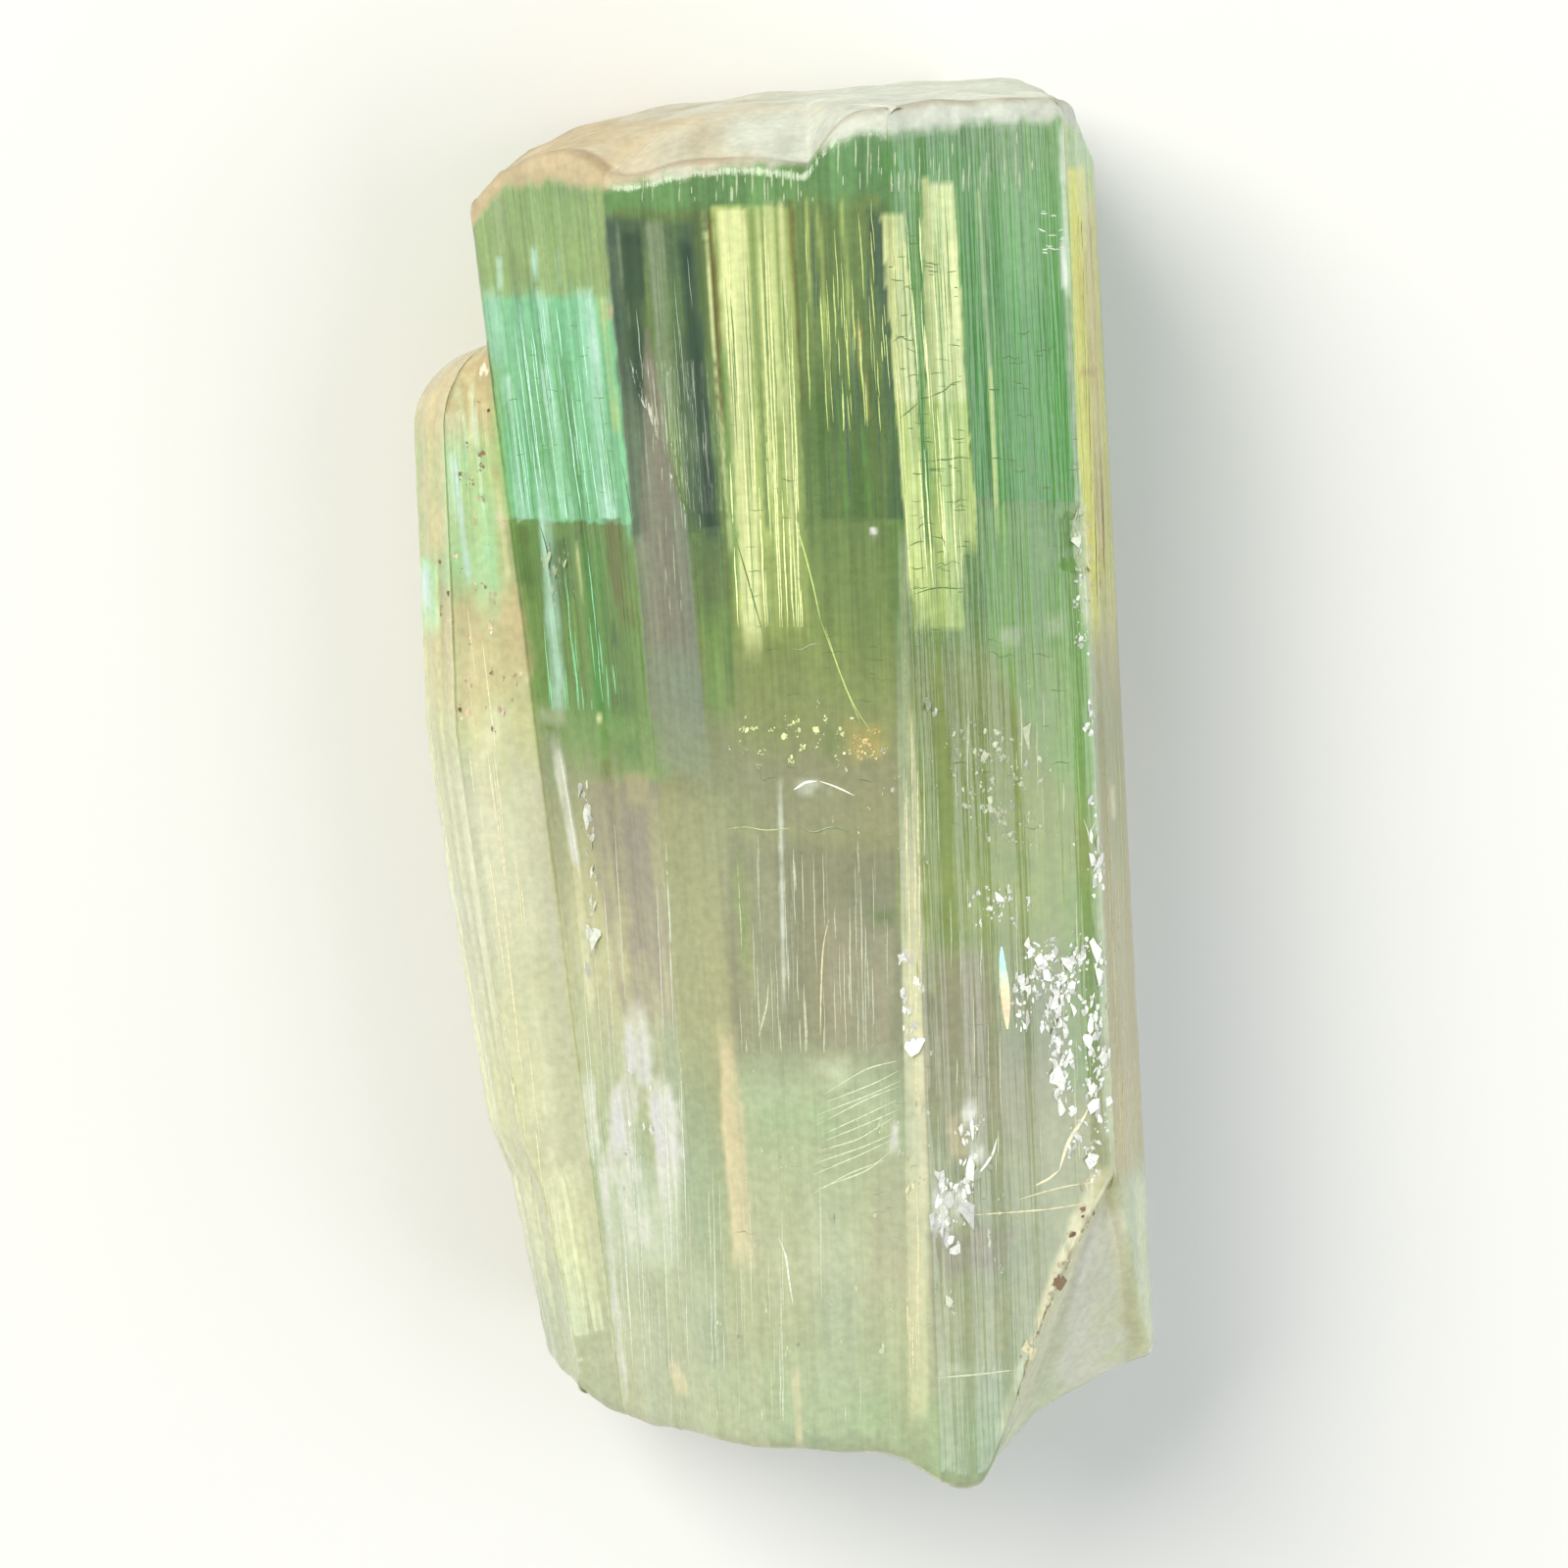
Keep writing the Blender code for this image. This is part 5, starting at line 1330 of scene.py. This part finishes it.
seeds = np.random.default_rng(LINE_SEED)
paths, widths, colours = [], [], []
for table, crosswise in ((THREADS, False), (CROSS_CRACKS, True)):
    for name, colour, count, reach, width, top, foot in table:
        paths.append(seeded_paths(count, reach, top, foot, crosswise, seeds))
        widths.append(width * seeds.uniform(0.6, 1.3, count))
        colours.append(linear(PALETTE[colour]) * seeds.uniform(0.85, 1.0, (count, 1)))
fan_stops = [np.array(FEATHER_FAN) + np.array(FAN_STEP) * k + seeds.normal(0, FAN_JITTER, (3, 2)) for k in range(FAN_COUNT)]
fan = [("feather", "milk", FAN_WIDTH, stops) for stops in fan_stops]
for name, colour, width, stops in (*DRAWN_LINES, *fan):
    paths.append(drawn_path(stops)[None])
    widths.append([width])
    colours.append([linear(PALETTE[colour])])
wall_points, wall_faces = line_walls(np.concatenate(paths), np.concatenate(widths))
hairlines = solid("hairlines", wall_points - shift, (wall_faces,), crack_stone("crack_edge", 0.25), FLAKE_CREASE)
store(hairlines, "tint", "FLOAT_COLOR", np.repeat(np.concatenate(colours), 4 * (LINE_STEPS + 1), axis=0))
set_in(hairlines)

# The rainbow flake. A crack so thin that its air film splits light into colours: blue at the wide upper end,
# through green and orange to yellow at the point. It lies in the right front face, above the main crackle.

RAINBOW_PATH = (1022, 966), (1023, 990), (1026, 1018), (1028, 1050)
RAINBOW_WIDTH = 0.24  # mm
RAINBOW = ("#b9dff2", "#a9e6e0", "#d3efbb", "#eed9a4", "#e8c79c", "#eee8a8")  # from its upper end down

film_points, film_faces = line_walls(drawn_path(RAINBOW_PATH)[None], np.array([RAINBOW_WIDTH]))
film_share = np.repeat(np.linspace(0, len(RAINBOW) - 1, LINE_STEPS + 1), 4)
film_stops = np.array([linear(code) for code in RAINBOW])
film_tint = np.stack([np.interp(film_share, np.arange(len(RAINBOW)), film_stops[:, k]) for k in range(3)], -1)
rainbow = solid("rainbow_flake", film_points - shift, (film_faces,), crack_stone("air_film", 0.12), FLAKE_CREASE)
store(rainbow, "tint", "FLOAT_COLOR", film_tint)
set_in(rainbow)

# The floor, the light and the camera. A plain pale floor, an even pale sky, and two large soft lamps, the
# stronger one at the upper left.

FLOOR_SIDE, FLOOR_DROP = 6.0, 0.00002  # m
FLOOR_COLOUR = "#dededa"
SKY_COLOUR, SKY_STRENGTH = "#eef2f5", 0.60
LAMPS = {  # place in m, side in m, power in W, colour
    "key_light": ((-0.22, 0.20, 0.34), 0.26, 1.9, "#fffaf0"),
    "fill_light": ((0.30, -0.06, 0.26), 0.30, 0.76, "#f2f7ff"),
}

floor_mesh = bpy.data.meshes.new("floor")
half = FLOOR_SIDE / 2
floor_mesh.from_pydata(
    [(x, y, -FLOOR_DROP) for x, y in ((-half, -half), (half, -half), (half, half), (-half, half))], [], [(0, 1, 2, 3)]
)
card = bpy.data.materials.new("matt_card")
card.use_nodes = True
card_shader = card.node_tree.nodes["Principled BSDF"]
card_shader.inputs["Base Color"].default_value = (*linear(FLOOR_COLOUR), 1.0)
card_shader.inputs["Roughness"].default_value = 0.8
floor_mesh.materials.append(card)
floor = bpy.data.objects.new("floor", floor_mesh)
bpy.context.scene.collection.objects.link(floor)

sky = bpy.data.worlds.new("sky")
sky.use_nodes = True
sky.node_tree.nodes["Background"].inputs["Color"].default_value = (*linear(SKY_COLOUR), 1.0)
sky.node_tree.nodes["Background"].inputs["Strength"].default_value = SKY_STRENGTH
bpy.context.scene.world = sky

for name, (place, side, power, colour) in LAMPS.items():
    lamp = bpy.data.lights.new(name, "AREA")
    lamp.shape = "SQUARE"
    lamp.size = side
    lamp.energy = power
    lamp.color = linear(colour)
    held = bpy.data.objects.new(name, lamp)
    held.location = place
    held.rotation_mode = "QUATERNION"
    held.rotation_quaternion = (-Vector(place)).to_track_quat("-Z", "Y")
    bpy.context.scene.collection.objects.link(held)

lens = bpy.data.cameras.new("camera")
lens.lens = LENS
lens.sensor_width = SENSOR
lens.clip_start = 0.001
camera = bpy.data.objects.new("camera", lens)
camera.location = (CAMERA_PLACE - shift) * MM
camera.rotation_euler = (-VIEW_TILT, 0.0, 0.0)
bpy.context.scene.collection.objects.link(camera)
bpy.context.scene.camera = camera
bpy.context.scene.view_settings.view_transform = "Standard"
